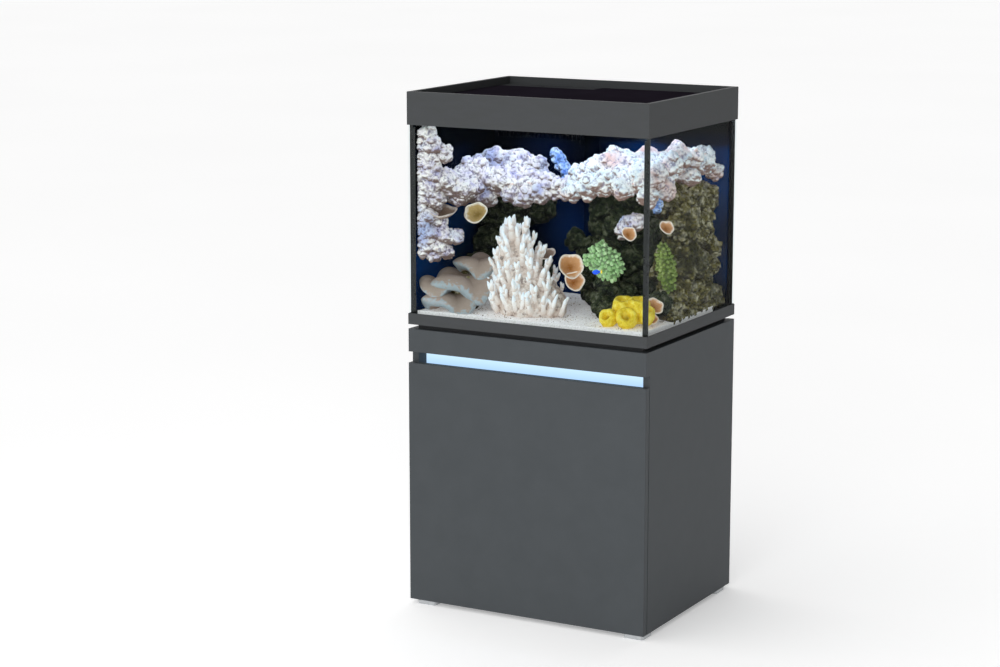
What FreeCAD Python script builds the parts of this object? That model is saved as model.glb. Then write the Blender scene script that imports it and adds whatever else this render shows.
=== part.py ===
"""Aquarium on a cabinet stand, with its reef, its hood and the filter in the cabinet.

Frame: X to the right, Y to the back, Z up, origin at the bottom centre of the box
around the unit, on the floor. Millimetres.
"""
import FreeCAD, Part
import os
import re
import Sketcher
from FreeCAD import Placement, Rotation, Vector

doc = FreeCAD.newDocument("AquariumOnStand")

# ---------------------------------------------------------------- driving sizes

SIZES = (
    ("unit_width", 700, "outside width of cabinet, tank trim and hood"),
    ("unit_depth", 550, "outside depth, from door front to cabinet back"),
    ("foot_height", 12, "feet under the cabinet"),
    ("foot_side", 56, "side of a square foot"),
    ("foot_chamfer", 5, "cut on the upright edges of a foot"),
    ("foot_inset_left", 20, "left feet in from the left side"),
    ("foot_inset_right", 4, "right feet in from the right side"),
    ("foot_inset_front", 5, "front feet in from the front"),
    ("foot_inset_back", 25, "back feet in from the back"),
    ("cabinet_height", 745, "carcass, from its underside to its top"),
    ("board_thick", 19, "carcass boards"),
    ("back_thick", 8, "back panel"),
    ("back_inset", 3, "back panel in from the back edges of the sides"),
    ("door_thick", 19, "door board"),
    ("door_gap", 3, "air between door and carcass"),
    ("edge_round", 1.2, "rounded edges of boards"),
    ("fascia_height", 62, "fixed front board over the grip groove"),
    ("groove_height", 30, "open height of the lit grip groove"),
    ("groove_depth", 40, "from carcass front to the lit face"),
    ("grip_depth", 18, "groove floor below the top edge of the door"),
    ("diffuser_thick", 4, "opal sheet in front of the lights"),
    ("strip_width", 10, "light strip"),
    ("strip_thick", 1.6, "light strip"),
    ("chip_side", 3, "light chip on the strip"),
    ("chip_pitch", 20, "chip spacing, about"),
    ("pivot_side", 6, "door pivot in from the outer edge of the door"),
    ("pivot_front", 9, "door pivot back from the face of the door"),
    ("pin_radius", 2.5, "pivot pin"),
    ("pin_reach", 10, "pin length above and below its leaf"),
    ("run_gap", 0.05, "radial running clearance of every pin"),
    ("bush_wall", 1.5, "pivot bush"),
    ("leaf_thick", 3, "steel pivot leaf"),
    ("leaf_width", 10, "steel pivot leaf"),
    ("leaf_back", 22, "how far the leaf runs back from the pin"),
    ("leaf_gap", 0.4, "air above and below a leaf in the door slot"),
    ("screw_radius", 2, "wood screw"),
    ("screw_head", 3.8, "wood screw head radius"),
    ("screw_length", 14, "wood screw"),
    ("plinth_height", 12, "dark board under the tank"),
    ("plinth_inset", 20, "plinth board in from the outside"),
    ("trim_height", 30, "trim round the bottom of the tank"),
    ("rim_proud", 2, "trim and hood skin outside the glass"),
    ("ledge_thick", 3, "trim ledge under the tank"),
    ("ledge_width", 24, "trim ledge under the tank"),
    ("glass_thick", 10, "tank panes"),
    ("base_thick", 10, "tank base glass"),
    ("seam_thick", 1, "silicone between panes"),
    ("seam_fillet", 6, "silicone fillet in the corners"),
    ("pane_show", 500, "glass seen between trim and hood"),
    ("hood_tuck", 18, "pane tucked up inside the hood"),
    ("hood_height", 87, "hood rails"),
    ("hood_wall", 12, "hood rail above the lids"),
    ("hood_ledge", 20, "hood rail below the lids"),
    ("lid_thick", 6, "lid panels"),
    ("lid_drop", 20, "lid top below the rim"),
    ("lid_gap", 1.5, "air round a lid"),
    ("rest_gap", 0.3, "air under a lid that rests"),
    ("lid_pin_radius", 1.5, "lid hinge pin"),
    ("lid_pin_grip", 9, "lid pin held in the frame"),
    ("lid_pin_reach", 20, "lid pin inside a lid"),
    ("lid_pin_end", 1, "air past the end of a lid pin"),
    ("rear_zone", 63, "from the hood wall at the back to the front lid hinge line"),
    ("flap_width", 290, "service flap over the overflow"),
    ("finger_radius", 11, "finger hole in a lid"),
    ("bridge_width", 28, "bar under the hinge line"),
    ("bridge_height", 24, "bar under the hinge line"),
    ("lamp_width", 58, "lamp bar"),
    ("lamp_height", 14, "lamp bar"),
    ("lamp_wall", 3, "lamp bar shell beside the lens"),
    ("lens_thick", 3, "lamp lens"),
    ("lamp_drop", 18, "lamp top below the lids"),
    ("lamp_front", 105, "front lamp back from the hood wall"),
    ("lamp_pitch", 185, "spacing of the two lamps"),
    ("brace_width", 40, "glass brace along a side pane"),
    ("brace_thick", 8, "glass brace"),
    ("brace_drop", 18, "brace top below the top of the panes"),
    ("film_thick", 0.5, "dark film on the back and left panes"),
    ("shaft_width", 276, "overflow shaft, inside"),
    ("shaft_depth", 85, "overflow shaft, inside"),
    ("shaft_wall", 5, "overflow shaft walls"),
    ("shaft_drop", 62, "shaft top below the top of the panes"),
    ("comb_depth", 26, "slots in the top of the shaft"),
    ("comb_slot", 4, "slot width"),
    ("comb_pitch", 12, "slot spacing"),
    ("drain_offset", 88, "drain pipe from the left pane"),
    ("return_offset", 238, "return pipe from the left pane"),
    ("pipe_setback", 70, "pipes in from the back of the unit"),
    ("drain_radius", 20, "drain pipe"),
    ("return_radius", 12.5, "return pipe"),
    ("pipe_wall", 2, "pipes"),
    ("elbow_radius", 28, "bend of the return pipe"),
    ("flange_wall", 6, "pipe fitting flange round its pipe"),
    ("flange_thick", 8, "pipe fitting flange"),
    ("hole_gap", 1, "radial air round a pipe in a panel"),
    ("return_run", 500, "height of the level run of the return pipe"),
    ("nozzle_run", 30, "level run of the return pipe over the shaft"),
    ("nozzle_rise", 6, "nozzle above the top of the shaft"),
    ("sump_width", 600, "filter tank"),
    ("sump_depth", 390, "filter tank"),
    ("sump_height", 340, "filter tank"),
    ("sump_glass", 6, "filter tank panes"),
    ("sump_side_gap", 10, "filter tank to the left cabinet side"),
    ("sump_back_gap", 17, "filter tank to the back panel"),
    ("sock_chamber", 140, "first chamber of the filter tank"),
    ("skimmer_chamber", 264, "second chamber of the filter tank"),
    ("baffle_height", 250, "walls between chambers"),
    ("sock_radius", 36, "filter sock"),
    ("sock_height", 190, "filter sock"),
    ("sock_wall", 3, "filter sock felt"),
    ("sock_lift", 110, "sock bottom above the filter tank floor"),
    ("skimmer_radius", 56, "protein skimmer body"),
    ("skimmer_height", 250, "protein skimmer body"),
    ("skimmer_neck", 30, "protein skimmer neck radius"),
    ("cup_radius", 48, "skimmer cup"),
    ("cup_height", 95, "skimmer cup"),
    ("pump_length", 110, "return pump"),
    ("pump_width", 72, "return pump"),
    ("pump_height", 88, "return pump"),
    ("pump_neck", 12, "outlet neck of the return pump, in its height"),
    ("pump_neck_wall", 3, "outlet neck of the return pump"),
    ("port_width", 300, "service opening in the back panel"),
    ("port_height", 110, "service opening in the back panel"),
    ("port_rise", 420, "service opening above the cabinet floor"),
    ("cable_radius", 30, "cable outlet in the back panel"),
    ("cable_rise", 620, "cable outlet above the cabinet floor"),
    ("cable_offset", 250, "cable outlet right of the middle"),
    ("grommet_wall", 4, "ring in the cable outlet"),
    ("grommet_lip", 5, "lip of the ring outside its hole"),
    ("grommet_lip_thick", 2, "lip of the ring outside its hole"),
    ("catch_length", 46, "magnetic catch"),
    ("catch_width", 14, "magnetic catch"),
    ("catch_height", 16, "magnetic catch"),
    ("catch_drop", 60, "catch below the top edge of the door"),
    ("strike_thick", 1.5, "steel plate on the door"),
    ("bumper_radius", 5, "rubber buffer"),
    ("sand_depth", 24, "sand bed"),
    ("reef_gap", 8, "reef clear of the panes"),
    ("shelf_rise", 290, "underside of the rock shelf above the sand"),
    ("shelf_thick", 150, "rock shelf"),
    ("shelf_depth", 150, "rock shelf"),
    ("left_rock_radius", 68, "left rock pillar"),
    ("right_rock_radius", 92, "right rock pillar"),
    ("coral_rise", 240, "finger coral"),
    ("coral_spread", 118, "finger coral"),
    ("corner_width", 80, "rock in the front left corner of the shelf"),
    ("corner_rise", 194, "underside of the corner rock above the sand"),
    ("corner_height", 270, "corner rock"),
    ("head_width", 130, "rock head in the front right corner of the shelf"),
)

sheet = doc.addObject("Spreadsheet::Sheet", "Sizes")
for row, (alias, number, note) in enumerate(SIZES, 1):
    sheet.set(f"A{row}", alias)
    sheet.set(f"B{row}", str(number))
    sheet.set(f"C{row}", note)
    sheet.setAlias(f"B{row}", alias)
doc.recompute()

# ------------------------------------------------- levels and planes, from the sizes

LEFT = "(-unit_width / 2)"
RIGHT = "(unit_width / 2)"
FRONT = "(-unit_depth / 2)"
BACK = "(unit_depth / 2)"

CAB_BOTTOM = "foot_height"
CAB_TOP = "(foot_height + cabinet_height)"
CAB_FLOOR = "(foot_height + board_thick)"
CAB_CEILING = f"({CAB_TOP} - board_thick)"
CAB_LEFT = "(-unit_width / 2 + board_thick)"
CAB_CLEAR = "(unit_width - 2 * board_thick)"
CARCASS_FRONT = f"({FRONT} + door_thick + door_gap)"
CARCASS_DEPTH = "(unit_depth - door_thick - door_gap)"
BACK_PANEL = f"({BACK} - back_inset - back_thick)"
FASCIA_BOTTOM = f"({CAB_TOP} - fascia_height)"
DOOR_TOP = f"({FASCIA_BOTTOM} - groove_height)"
DOOR_HEIGHT = "(cabinet_height - fascia_height - groove_height)"
GRIP_FLOOR = f"({DOOR_TOP} - grip_depth)"
LIT_FACE = f"({CARCASS_FRONT} + groove_depth)"

PIVOT_X = f"({LEFT} + pivot_side)"
PIVOT_Y = f"({FRONT} + pivot_front)"
LEAF_ACROSS = "(2.2 * board_thick)"

TRIM_BOTTOM = f"({CAB_TOP} + plinth_height)"
BASE_BOTTOM = f"({TRIM_BOTTOM} + ledge_thick)"
BASE_TOP = f"({BASE_BOTTOM} + base_thick)"
PANE_BOTTOM = f"({BASE_TOP} + seam_thick)"
HOOD_BOTTOM = f"({TRIM_BOTTOM} + trim_height + pane_show)"
PANE_TOP = f"({HOOD_BOTTOM} + hood_tuck)"
PANE_HEIGHT = f"({PANE_TOP} - {PANE_BOTTOM})"
RIM_TOP = f"({HOOD_BOTTOM} + hood_height)"
LID_BOTTOM = f"({RIM_TOP} - lid_drop - lid_thick)"
LEDGE_RISE = "(hood_height - lid_drop - lid_thick - rest_gap)"
LEDGE_TOP = f"({HOOD_BOTTOM} + {LEDGE_RISE})"
BRACE_BOTTOM = f"({PANE_TOP} - brace_drop - brace_thick)"
SHAFT_TOP = f"({PANE_TOP} - shaft_drop)"

SKIN = "(rim_proud + glass_thick)"
TANK_LEFT = f"({LEFT} + {SKIN})"
TANK_RIGHT = f"({RIGHT} - {SKIN})"
TANK_FRONT = f"({FRONT} + {SKIN})"
TANK_BACK = f"({BACK} - {SKIN})"
TANK_WIDE = f"(unit_width - 2 * {SKIN})"
TANK_DEEP = f"(unit_depth - 2 * {SKIN})"
GLASS_WIDE = "(unit_width - 2 * rim_proud)"
GLASS_DEEP = "(unit_depth - 2 * rim_proud)"

HINGE_Y = f"({BACK} - hood_wall - rear_zone)"
LID_AXIS_Z = f"({LID_BOTTOM} + lid_thick / 2)"
REAR_Y = f"({HINGE_Y} + lid_thick / 2 + lid_gap)"
REAR_DEEP = "(rear_zone - lid_thick / 2 - 2 * lid_gap)"
FLAP_AXIS_Y = f"({REAR_Y} + {REAR_DEEP} - lid_thick / 2)"
LID_LEFT = f"({LEFT} + hood_wall + lid_gap)"
LID_RIGHT = f"({RIGHT} - hood_wall - lid_gap)"

SHAFT_FRONT = f"({TANK_BACK} - shaft_depth - shaft_wall)"
DRAIN_X = f"({TANK_LEFT} + drain_offset)"
RETURN_X = f"({TANK_LEFT} + return_offset)"
PIPE_Y = f"({BACK} - pipe_setback)"
SUMP_LEFT = f"({CAB_LEFT} + sump_side_gap)"
SUMP_BACK = f"({BACK_PANEL} - sump_back_gap)"
SUMP_FRONT = f"({SUMP_BACK} - sump_depth)"
SUMP_FLOOR = f"({CAB_FLOOR} + sump_glass)"
SKIMMER_LEFT = f"({SUMP_LEFT} + 2 * sump_glass + sock_chamber)"
PUMP_LEFT = f"({SKIMMER_LEFT} + skimmer_chamber + sump_glass)"
PUMP_X = f"(({PUMP_LEFT} + {SUMP_LEFT} + sump_width - sump_glass) / 2)"
PUMP_TOP = f"({SUMP_FLOOR} + pump_height)"
SAND_TOP = f"({BASE_TOP} + sand_depth)"

# ---------------------------------------------------------------------- helpers

NODES = []


def bound(text):
    """An expression on the sheet: every name with an underscore is an alias."""
    return re.sub(r"\b[a-z]+(?:_[a-z]+)+\b", lambda m: "Sizes." + m.group(0), text)


def bind(obj, prop, text):
    obj.setExpression(prop, bound(str(text)))


def put(obj, corner, turn=None):
    """Place an object by its own origin, turned first if asked."""
    if turn:
        obj.Placement = Placement(Vector(), turn)
    for axis, text in zip("xyz", corner):
        bind(obj, f"Placement.Base.{axis}", text)
    return obj


def keep(obj, label):
    """Make this object a sub-part that is written to its own file."""
    obj.Label = label
    NODES.append(obj)
    return obj


def turned(axis, degrees):
    return Rotation(Vector(*axis), degrees)


def box(name, corner, size):
    obj = doc.addObject("Part::Box", name)
    for prop, text in zip(("Length", "Width", "Height"), size):
        bind(obj, prop, text)
    return put(obj, corner)


def cylinder(name, base, radius, length, turn=None):
    obj = doc.addObject("Part::Cylinder", name)
    bind(obj, "Radius", radius)
    bind(obj, "Height", length)
    return put(obj, base, turn)


def cone(name, base, foot, head, height):
    obj = doc.addObject("Part::Cone", name)
    bind(obj, "Radius1", foot)
    bind(obj, "Radius2", head)
    bind(obj, "Height", height)
    return put(obj, base)


def cut(name, base, tool):
    obj = doc.addObject("Part::Cut", name)
    obj.Base = base
    obj.Tool = tool
    return obj


def fuse(name, shapes):
    obj = doc.addObject("Part::MultiFuse", name)
    obj.Shapes = shapes
    return obj


def group(label, solids):
    """Several separate solids that share one sub-part."""
    obj = doc.addObject("Part::Compound", label)
    obj.Links = solids
    return keep(obj, label)


def ring(name, base, outer, inner, height):
    """A round tube standing on its base point."""
    return cut(name, cylinder(name + "_outside", base, outer, height),
               cylinder(name + "_bore", base, inner, height))


def origin_plane(body, role):
    return next(o for o in body.Origin.OriginFeatures if o.Role == role)


def sketch_on(body, name, role="XY_Plane", lift=None):
    sketch = body.newObject("Sketcher::SketchObject", name)
    sketch.AttachmentSupport = [(origin_plane(body, role), "")]
    sketch.MapMode = "FlatFace"
    if lift:
        bind(sketch, "AttachmentOffset.Base.z", lift)
    return sketch


def outline(sketch, points, sizes, across=None):
    """A closed outline through points; sizes are (kind, from, to, text) between corners.

    The first corner is the sketch's origin, or lies this far across from it.
    """
    count = len(points)
    for i in range(count):
        a, b = points[i], points[(i + 1) % count]
        sketch.addGeometry(Part.LineSegment(Vector(*a, 0), Vector(*b, 0)), False)
    for i in range(count):
        sketch.addConstraint(Sketcher.Constraint("Coincident", i, 2, (i + 1) % count, 1))
    for i in range(count):
        a, b = points[i], points[(i + 1) % count]
        if a[1] == b[1]:
            sketch.addConstraint(Sketcher.Constraint("Horizontal", i))
        elif a[0] == b[0]:
            sketch.addConstraint(Sketcher.Constraint("Vertical", i))
    if across:
        number = sketch.addConstraint(Sketcher.Constraint("DistanceX", -1, 1, 0, 1, points[0][0]))
        sketch.renameConstraint(number, "across")
        bind(sketch, "Constraints.across", across)
        sketch.addConstraint(Sketcher.Constraint("PointOnObject", 0, 1, -1))
    else:
        sketch.addConstraint(Sketcher.Constraint("Coincident", 0, 1, -1, 1))
    for i, (kind, start, end, text) in enumerate(sizes):
        a, b = points[start], points[end]
        now = abs(b[0] - a[0]) if kind == "DistanceX" else abs(b[1] - a[1])
        number = sketch.addConstraint(Sketcher.Constraint(kind, start, 1, end, 1, now))
        sketch.renameConstraint(number, f"size{i}")
        bind(sketch, f"Constraints.size{i}", text)
    return sketch


def pad(body, name, sketch, length):
    feature = body.newObject("PartDesign::Pad", name)
    feature.Profile = sketch
    bind(feature, "Length", length)
    return feature


def plate(label, corner, size, turn=None):
    """A board or pane: a rectangle on the body's XY plane, padded up."""
    body = doc.addObject("PartDesign::Body", label)
    sketch = sketch_on(body, label + "_sketch")
    outline(sketch, [(0, 0), (100, 0), (100, 60), (0, 60)],
            [("DistanceX", 0, 1, size[0]), ("DistanceY", 1, 2, size[1])])
    pad(body, label + "_pad", sketch, size[2])
    put(body, corner, turn)
    return keep(body, label)


def carve(body, kind, corner, turn=None, **sizes):
    """Add or cut a box, cylinder or cone at a place in the body's own frame."""
    feature = body.newObject("PartDesign::" + kind, f"{body.Name}_{kind.lower()}")
    for prop, text in sizes.items():
        bind(feature, prop, text)
    if turn:
        feature.Placement = Placement(Vector(), turn)
    for axis, text in zip("xyz", corner):
        bind(feature, f"Placement.Base.{axis}", text)
    return feature


def soften(body, wanted, radius, kind="Fillet"):
    """Round or chamfer the edges of the body's tip that wanted(edge, box) picks."""
    doc.recompute()
    tip = body.Tip
    limits = tip.Shape.BoundBox
    names = [f"Edge{i}" for i, edge in enumerate(tip.Shape.Edges, 1)
             if wanted(edge.BoundBox, limits)]
    feature = body.newObject("PartDesign::" + kind, f"{body.Name}_{kind.lower()}")
    feature.Base = (tip, names)
    bind(feature, "Radius" if kind == "Fillet" else "Size", radius)
    return feature


def near(a, b):
    return abs(a - b) < 1e-4


def front_outline(edge, limits):
    """Edges that lie in the front face and run along the outside of the board."""
    flat = near(edge.YMin, limits.YMin) and near(edge.YMax, limits.YMin)
    along_x = near(edge.ZMin, edge.ZMax) and (near(edge.ZMin, limits.ZMin)
                                              or near(edge.ZMax, limits.ZMax))
    along_z = near(edge.XMin, edge.XMax) and (near(edge.XMin, limits.XMin)
                                              or near(edge.XMax, limits.XMax))
    return flat and (along_x or along_z)


def upright(edge, limits):
    return edge.ZLength > 0.9 * limits.ZLength and edge.XLength < 1e-4 and edge.YLength < 1e-4


# ---------------------------------------------------------------- cabinet boards

side_left = plate("side_panel_left", (LEFT, CARCASS_FRONT, CAB_BOTTOM),
                  ("board_thick", CARCASS_DEPTH, "cabinet_height"))
side_right = plate("side_panel_right", (f"({RIGHT} - board_thick)", CARCASS_FRONT, CAB_BOTTOM),
                   ("board_thick", CARCASS_DEPTH, "cabinet_height"))


def outer_long_edges(outside):
    """The long top, bottom and back edges of a side board, on its outside face."""
    def wanted(edge, limits):
        face = limits.XMin if outside == "left" else limits.XMax
        flat = near(edge.XMin, face) and near(edge.XMax, face)
        top = near(edge.ZMin, limits.ZMax)
        back = near(edge.YMin, limits.YMax)
        return flat and (top or back)
    return wanted


soften(side_left, outer_long_edges("left"), "edge_round")
soften(side_right, outer_long_edges("right"), "edge_round")

board_deep = f"({CARCASS_DEPTH} - back_inset - back_thick)"
top_panel = plate("top_panel", (CAB_LEFT, CARCASS_FRONT, CAB_CEILING),
                  (CAB_CLEAR, board_deep, "board_thick"))
plate("bottom_panel", (CAB_LEFT, CARCASS_FRONT, CAB_BOTTOM),
      (CAB_CLEAR, board_deep, "board_thick"))
plinth_wide = "(unit_width - 2 * plinth_inset)"
plinth_deep = "(unit_depth - 2 * plinth_inset)"
plinth = plate("plinth_board", (f"({LEFT} + plinth_inset)", f"({FRONT} + plinth_inset)", CAB_TOP),
               (plinth_wide, plinth_deep, "plinth_height"))


def pipe_hole(body, corner, pipe_x, pipe_radius, depth):
    """A clearance hole for a pipe through a flat board or pane placed at corner."""
    carve(body, "SubtractiveCylinder",
          (f"{pipe_x} - {corner[0]}", f"{PIPE_Y} - {corner[1]}", "0"),
          Radius=f"{pipe_radius} + hole_gap", Height=depth)


for pipe_x, pipe_radius in ((DRAIN_X, "drain_radius"), (RETURN_X, "return_radius")):
    pipe_hole(top_panel, (CAB_LEFT, CARCASS_FRONT), pipe_x, pipe_radius, "board_thick")
    pipe_hole(plinth, (f"({LEFT} + plinth_inset)", f"({FRONT} + plinth_inset)"),
              pipe_x, pipe_radius, "plinth_height")

back_panel = plate("back_panel", (CAB_LEFT, BACK_PANEL, CAB_BOTTOM),
                   (CAB_CLEAR, "back_thick", "cabinet_height"))
carve(back_panel, "SubtractiveBox",
      (f"{CAB_CLEAR} / 2 - port_width / 2", "0", "board_thick + port_rise"),
      Length="port_width", Width="back_thick", Height="port_height")
carve(back_panel, "SubtractiveCylinder",
      (f"{CAB_CLEAR} / 2 + cable_offset", "back_thick", "board_thick + cable_rise"),
      turned((1, 0, 0), 90), Radius="cable_radius", Height="back_thick")

# A flanged ring that lines the cable outlet, turned from a half section.
grommet = doc.addObject("PartDesign::Body", "cable_grommet")
section = sketch_on(grommet, "cable_grommet_sketch", "XZ_Plane")
outline(section, [(26, 0), (35, 0), (35, 2), (30, 2), (30, 10), (26, 10)],
        [("DistanceX", 0, 1, "grommet_wall + grommet_lip"), ("DistanceY", 1, 2, "grommet_lip_thick"),
         ("DistanceX", 0, 3, "grommet_wall"), ("DistanceY", 3, 4, "back_thick")],
        "cable_radius - grommet_wall")
spin = grommet.newObject("PartDesign::Revolution", "cable_grommet_turned")
spin.Profile = section
spin.ReferenceAxis = (section, ["V_Axis"])
spin.Angle = 360
put(grommet, ("cable_offset", f"{BACK} - back_inset + grommet_lip_thick",
              f"{CAB_FLOOR} + cable_rise"), turned((1, 0, 0), 90))
keep(grommet, "cable_grommet")

# ------------------------------------------------------- fascia and lit grip groove

fascia = plate("front_fascia", (LEFT, FRONT, FASCIA_BOTTOM),
               ("unit_width", "door_thick + door_gap", "fascia_height"))
soften(fascia, front_outline, "edge_round")
plate("header_rail", (CAB_LEFT, CARCASS_FRONT, FASCIA_BOTTOM),
      (CAB_CLEAR, "groove_depth", f"{CAB_CEILING} - {FASCIA_BOTTOM}"))
plate("groove_floor", (CAB_LEFT, CARCASS_FRONT, f"{GRIP_FLOOR} - board_thick"),
      (CAB_CLEAR, "groove_depth", "board_thick"))
strip_slot = "(strip_thick + chip_side / 2)"
groove_back = plate("groove_back",
                    (CAB_LEFT, f"{LIT_FACE} + diffuser_thick", f"{GRIP_FLOOR} - board_thick"),
                    (CAB_CLEAR, "board_thick", f"{CAB_CEILING} - {GRIP_FLOOR} + board_thick"))
STRIP_RISE = "(board_thick + (grip_depth + groove_height) / 2 - strip_width / 2)"
carve(groove_back, "SubtractiveBox", ("0", "0", STRIP_RISE),
      Length=CAB_CLEAR, Width=strip_slot, Height="strip_width")
plate("groove_diffuser", (CAB_LEFT, LIT_FACE, GRIP_FLOOR),
      (CAB_CLEAR, "diffuser_thick", "grip_depth + groove_height"))

strip = plate("light_strip",
              (f"{CAB_LEFT}", f"{LIT_FACE} + diffuser_thick + {strip_slot} - strip_thick",
               f"{GRIP_FLOOR} - board_thick + {STRIP_RISE}"),
              (CAB_CLEAR, "strip_thick", "strip_width"))
chip = carve(strip, "AdditiveBox",
             ("chip_pitch / 2", "-chip_side / 2", "strip_width / 2 - chip_side / 2"),
             Length="chip_side", Width="chip_side / 2", Height="chip_side")
doc.recompute()
chips = strip.newObject("PartDesign::LinearPattern", "light_strip_chips")
chips.Originals = [chip]
chips.Direction = (next(o for o in strip.Origin.OriginFeatures if o.Role == "X_Axis"), [""])
bind(chips, "Length", f"{CAB_CLEAR} - 2 * chip_pitch")
bind(chips, "Occurrences", f"round({CAB_CLEAR} / chip_pitch) - 1")
strip.Tip = chips

# ------------------------------------------------------------ door and its pivots

DOOR_ORIGIN = (LEFT, FRONT, CAB_BOTTOM)
LEAF_LEVELS = {"top": GRIP_FLOOR, "bottom": CAB_FLOOR}

door = plate("door_panel", DOOR_ORIGIN, ("unit_width", "door_thick", DOOR_HEIGHT))
soften(door, front_outline, "edge_round")
front_lip = "(pivot_front - leaf_width / 2 - 1)"
for level in LEAF_LEVELS.values():
    rise = f"({level} - {CAB_BOTTOM})"
    carve(door, "SubtractiveBox", ("0", front_lip, f"{rise} - leaf_gap"),
          Length=LEAF_ACROSS, Width=f"door_thick - {front_lip}", Height="leaf_thick + 2 * leaf_gap")
    carve(door, "SubtractiveCylinder",
          ("pivot_side", "pivot_front", f"{rise} + leaf_thick / 2 - pin_reach - 2 * leaf_gap"),
          Radius="pin_radius + run_gap + bush_wall", Height="2 * pin_reach + 4 * leaf_gap")

bushes = []
pins = []
leaves = []
leaf_screws = []
for side, level in LEAF_LEVELS.items():
    middle = f"({level} + leaf_thick / 2)"
    for end, start in (("low", f"{middle} - pin_reach - 2 * leaf_gap"),
                       ("high", f"{level} + leaf_thick + leaf_gap")):
        bushes.append(ring(f"bush_{side}_{end}", (PIVOT_X, PIVOT_Y, start),
                           "pin_radius + run_gap + bush_wall", "pin_radius + run_gap",
                           "pin_reach + leaf_gap - leaf_thick / 2"))
    pins.append(cylinder(f"pin_{side}", (PIVOT_X, PIVOT_Y, f"{middle} - pin_reach"),
                         "pin_radius", "2 * pin_reach"))
    # The leaf runs from the pin back and inwards, past the edge of the side board.
    leaf_length = f"sqrt(({LEAF_ACROSS})^2 + leaf_back^2)"
    bar = doc.addObject("Part::Box", f"leaf_bar_{side}")
    bind(bar, "Length", leaf_length)
    bind(bar, "Width", "leaf_width")
    bind(bar, "Height", "leaf_thick")
    run_x = f"({LEAF_ACROSS} / {leaf_length})"
    run_y = f"(leaf_back / {leaf_length})"
    put(bar, (f"{PIVOT_X} + leaf_width / 2 * {run_y}", f"{PIVOT_Y} - leaf_width / 2 * {run_x}", level))
    bar.Placement.Rotation = turned((0, 0, 1), 0)
    bind(bar, "Placement.Rotation.Angle", f"atan(leaf_back / {LEAF_ACROSS})")
    eye = cylinder(f"leaf_eye_{side}", (PIVOT_X, PIVOT_Y, level), "leaf_width / 2", "leaf_thick")
    blank = fuse(f"leaf_blank_{side}", [bar, eye])
    holes = [cylinder(f"leaf_pin_hole_{side}", (PIVOT_X, PIVOT_Y, level), "pin_radius", "leaf_thick")]
    for n, share in enumerate(("0.72", "0.9")):
        spot = (f"{PIVOT_X} + {share} * {LEAF_ACROSS}", f"{PIVOT_Y} + {share} * leaf_back")
        holes.append(cylinder(f"leaf_hole_{side}_{n}", (*spot, level), "screw_radius", "leaf_thick"))
        shank = cylinder(f"leaf_shank_{side}_{n}", (*spot, f"{level} + leaf_thick - screw_length"),
                         "screw_radius", "screw_length")
        head = cone(f"leaf_head_{side}_{n}", (*spot, f"{level} + leaf_thick"),
                    "screw_head", "screw_radius", "screw_radius / 2")
        leaf_screws.append(fuse(f"leaf_screw_{side}_{n}", [shank, head]))
    leaves.append(cut(f"leaf_{side}", blank, fuse(f"leaf_holes_{side}", holes)))
group("pivot_bushes", bushes)
group("pivot_pins", pins)
group("pivot_leaves", leaves)


# The boards under the leaves take the screws.
groove_floor = doc.getObject("groove_floor")
bottom_panel = doc.getObject("bottom_panel")
for body, top in ((groove_floor, "board_thick"), (bottom_panel, "board_thick")):
    for share in ("0.72", "0.9"):
        carve(body, "SubtractiveCylinder",
              (f"{PIVOT_X} + {share} * {LEAF_ACROSS} - {CAB_LEFT}",
               f"{PIVOT_Y} + {share} * leaf_back - {CARCASS_FRONT}",
               f"{top} + leaf_thick - screw_length"),
              Radius="screw_radius", Height="screw_length")

# Magnetic catch inside the right side, its strike plate and the rubber buffers.
CATCH_Z = f"({DOOR_TOP} - catch_drop)"
catch_x = f"({RIGHT} - board_thick - catch_width)"
catch = plate("magnetic_catch", (catch_x, f"{CARCASS_FRONT} + rest_gap", CATCH_Z),
              ("catch_width", "catch_length", "catch_height"))
soften(catch, upright, "edge_round")
plate("strike_plate", (catch_x, f"{FRONT} + door_thick", CATCH_Z),
      ("catch_width", "strike_thick", "catch_height"))
buffers = []
for n, height in enumerate((f"{DOOR_TOP} - 2 * catch_drop", f"{CAB_FLOOR} + catch_drop")):
    buffers.append(cylinder(f"buffer_{n}",
                            (f"{RIGHT} - board_thick / 2", CARCASS_FRONT, height),
                            "bumper_radius", "door_gap - rest_gap", turned((1, 0, 0), 90)))
group("door_buffers", buffers)

# -------------------------------------------------------------------------- feet

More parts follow.
